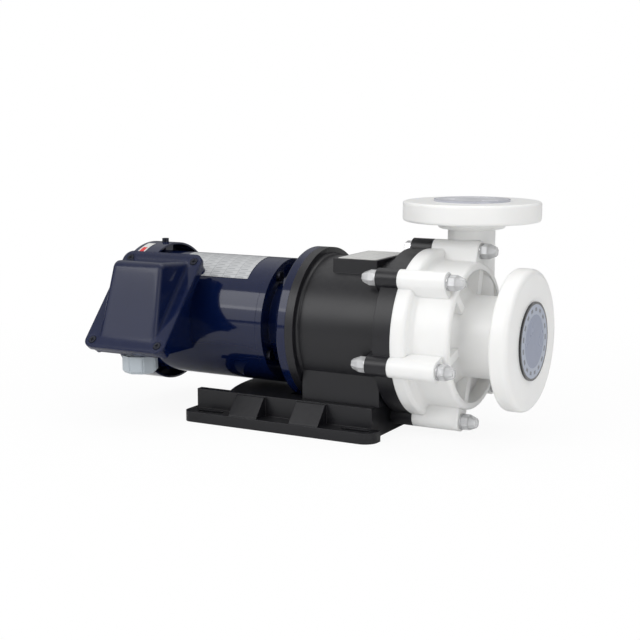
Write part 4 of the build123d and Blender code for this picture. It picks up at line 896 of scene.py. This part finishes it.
class SetStudio(Operator):
    """Pale floor, soft lamps and the camera"""

    bl_idname = "pump.set_studio"
    bl_label = "Set studio"

    def softbox(self, name, place, target, size, power):
        """A square lamp aimed at a point."""
        data = bpy.data.lights.new(name, "AREA")
        data.shape = "RECTANGLE"
        data.size, data.size_y = size
        data.energy = power
        lamp = bpy.data.objects.new(name, data)
        lamp.location = place
        lamp.rotation_mode = "QUATERNION"
        aim = Vector(target) - Vector(place)
        lamp.rotation_quaternion = aim.to_track_quat("-Z", "Y")
        bpy.context.scene.collection.objects.link(lamp)

    def floor(self, size):
        """White floor whose camera rays show paper white, with a soft contact shadow."""
        mesh = bmesh.new()
        corners = [(-1, -1), (1, -1), (1, 1), (-1, 1)]
        mesh.faces.new([mesh.verts.new((x * size / 2, y * size / 2, 0)) for x, y in corners])
        data = bpy.data.meshes.new("studio_floor")
        mesh.to_mesh(data)
        mesh.free()
        material = bpy.data.materials.new("studio_paper")
        material.use_nodes = True
        material.node_tree.nodes.clear()
        tree = Tree(material.node_tree)
        noise = tree.add("ShaderNodeTexNoise", feeds={"Scale": 3.0, "Detail": 2.0})
        paper = tree.mix(noise.outputs["Fac"], (0.86, 0.86, 0.86), (0.9, 0.9, 0.9))
        matte = tree.add("ShaderNodeBsdfDiffuse", feeds={"Color": paper})
        glow = tree.add(
            "ShaderNodeEmission", feeds={"Color": (1.0, 1.0, 1.0), "Strength": 1.0}
        )
        path = tree.add("ShaderNodeLightPath")
        seen = tree.math(
            "MAXIMUM", path.outputs["Is Camera Ray"], path.outputs["Is Transmission Ray"]
        )
        place = tree.add("ShaderNodeTexCoord").outputs["Object"]
        reach = tree.add(
            "ShaderNodeVectorMath", operation="LENGTH", feeds={0: place}
        ).outputs["Value"]
        plain = tree.between(reach, 0.25, 0.75)
        white = tree.math("ADD", tree.math("MULTIPLY", plain, 0.08), 0.92)
        both = tree.add(
            "ShaderNodeMixShader",
            feeds={0: tree.math("MULTIPLY", seen, white), 1: matte.outputs[0], 2: glow.outputs[0]},
        )
        output = tree.add("ShaderNodeOutputMaterial")
        tree.feed(output.inputs["Surface"], both.outputs[0])
        data.materials.append(material)
        obj = bpy.data.objects.new("studio_floor", data)
        bpy.context.scene.collection.objects.link(obj)

    def world(self, level):
        """Even surroundings that show white to the camera."""
        world = bpy.data.worlds.new("studio_surroundings")
        bpy.context.scene.world = world
        world.use_nodes = True
        world.node_tree.nodes.clear()
        tree = Tree(world.node_tree)
        place = tree.add("ShaderNodeTexCoord").outputs["Generated"]
        split = tree.add("ShaderNodeSeparateXYZ", feeds={0: place})
        rise = tree.between(split.outputs["Z"], 0.05, 0.75)
        shade = tree.mix(rise, (0.11, 0.113, 0.12), (1.0, 1.0, 1.0))
        soft = tree.add("ShaderNodeBackground", feeds={"Color": shade, "Strength": level})
        white = tree.add(
            "ShaderNodeBackground", feeds={"Color": (1.0, 1.0, 1.0), "Strength": 1.0}
        )
        path = tree.add("ShaderNodeLightPath")
        seen = tree.math(
            "MAXIMUM", path.outputs["Is Camera Ray"], path.outputs["Is Transmission Ray"]
        )
        both = tree.add(
            "ShaderNodeMixShader", feeds={0: seen, 1: soft.outputs[0], 2: white.outputs[0]}
        )
        output = tree.add("ShaderNodeOutputWorld")
        tree.feed(output.inputs["Surface"], both.outputs[0])

    def execute(self, context):
        studio = context.scene.pump_studio
        self.floor(studio.floor_size)
        self.world(studio.world_level)
        middle = (0.0, 0.0, 0.1)
        self.softbox("key_softbox", (-0.7, -1.7, 1.3), middle, (1.6, 1.1), studio.key_power)
        self.softbox("fill_softbox", (1.7, -0.9, 0.7), middle, (1.2, 1.4), studio.fill_power)
        self.softbox("top_softbox", (0.1, 0.3, 1.9), middle, (1.8, 1.2), studio.fill_power)
        self.softbox("side_softbox", (-1.3, -1.6, 0.55), middle, (1.0, 0.8), studio.side_power)
        data = bpy.data.cameras.new("photo_camera")
        data.sensor_width = 36.0
        data.lens = studio.lens
        data.clip_start = 0.05
        data.clip_end = 50.0
        camera = bpy.data.objects.new("photo_camera", data)
        turn, drop = studio.camera_azimuth, studio.camera_drop
        camera.location = studio.camera_place
        camera.rotation_mode = "QUATERNION"
        aim = Vector((-sin(turn) * cos(drop), cos(turn) * cos(drop), -sin(drop)))
        camera.rotation_quaternion = aim.to_track_quat("-Z", "Y")
        context.scene.collection.objects.link(camera)
        context.scene.camera = camera
        context.scene.view_settings.view_transform = "Standard"
        return {"FINISHED"}


class PumpPanel(Panel):
    """Lists the dressing steps in the sidebar"""

    bl_idname = "VIEW3D_PT_pump"
    bl_label = "Pump dressing"
    bl_space_type = "VIEW_3D"
    bl_region_type = "UI"
    bl_category = "Pump"

    def draw(self, context):
        for settings in settings_groups:
            box = self.layout.box()
            group = getattr(context.scene, settings)
            for name in group.__annotations__:
                box.prop(group, name)
        for operator in operators:
            self.layout.operator(operator.bl_idname)


operators = (
    DressCasing,
    DressBracket,
    DressMotor,
    DressHardware,
    DressNutCaps,
    DressInside,
    PrintPortCovers,
    PrintPlates,
    SetStudio,
)
settings_groups = {
    "pump_finishes": PumpFinishes,
    "pump_print": PumpPrint,
    "pump_studio": PumpStudio,
}
classes = (*settings_groups.values(), *operators, PumpPanel)


def register():
    """Registers the classes and hangs the settings on the scene."""
    for item in classes:
        bpy.utils.register_class(item)
    for name, item in settings_groups.items():
        setattr(bpy.types.Scene, name, PointerProperty(type=item))


def unregister():
    """Takes the settings and classes away again."""
    for name in settings_groups:
        delattr(bpy.types.Scene, name)
    for item in reversed(classes):
        bpy.utils.unregister_class(item)


def main():
    """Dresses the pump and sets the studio."""
    register()
    bpy.ops.pump.dress_casing()
    bpy.ops.pump.dress_bracket()
    bpy.ops.pump.dress_motor()
    bpy.ops.pump.dress_hardware()
    bpy.ops.pump.dress_nut_caps()
    bpy.ops.pump.dress_inside()
    bpy.ops.pump.print_port_covers()
    bpy.ops.pump.print_plates()
    bpy.ops.pump.set_studio()


if __name__ == "__main__":
    main()
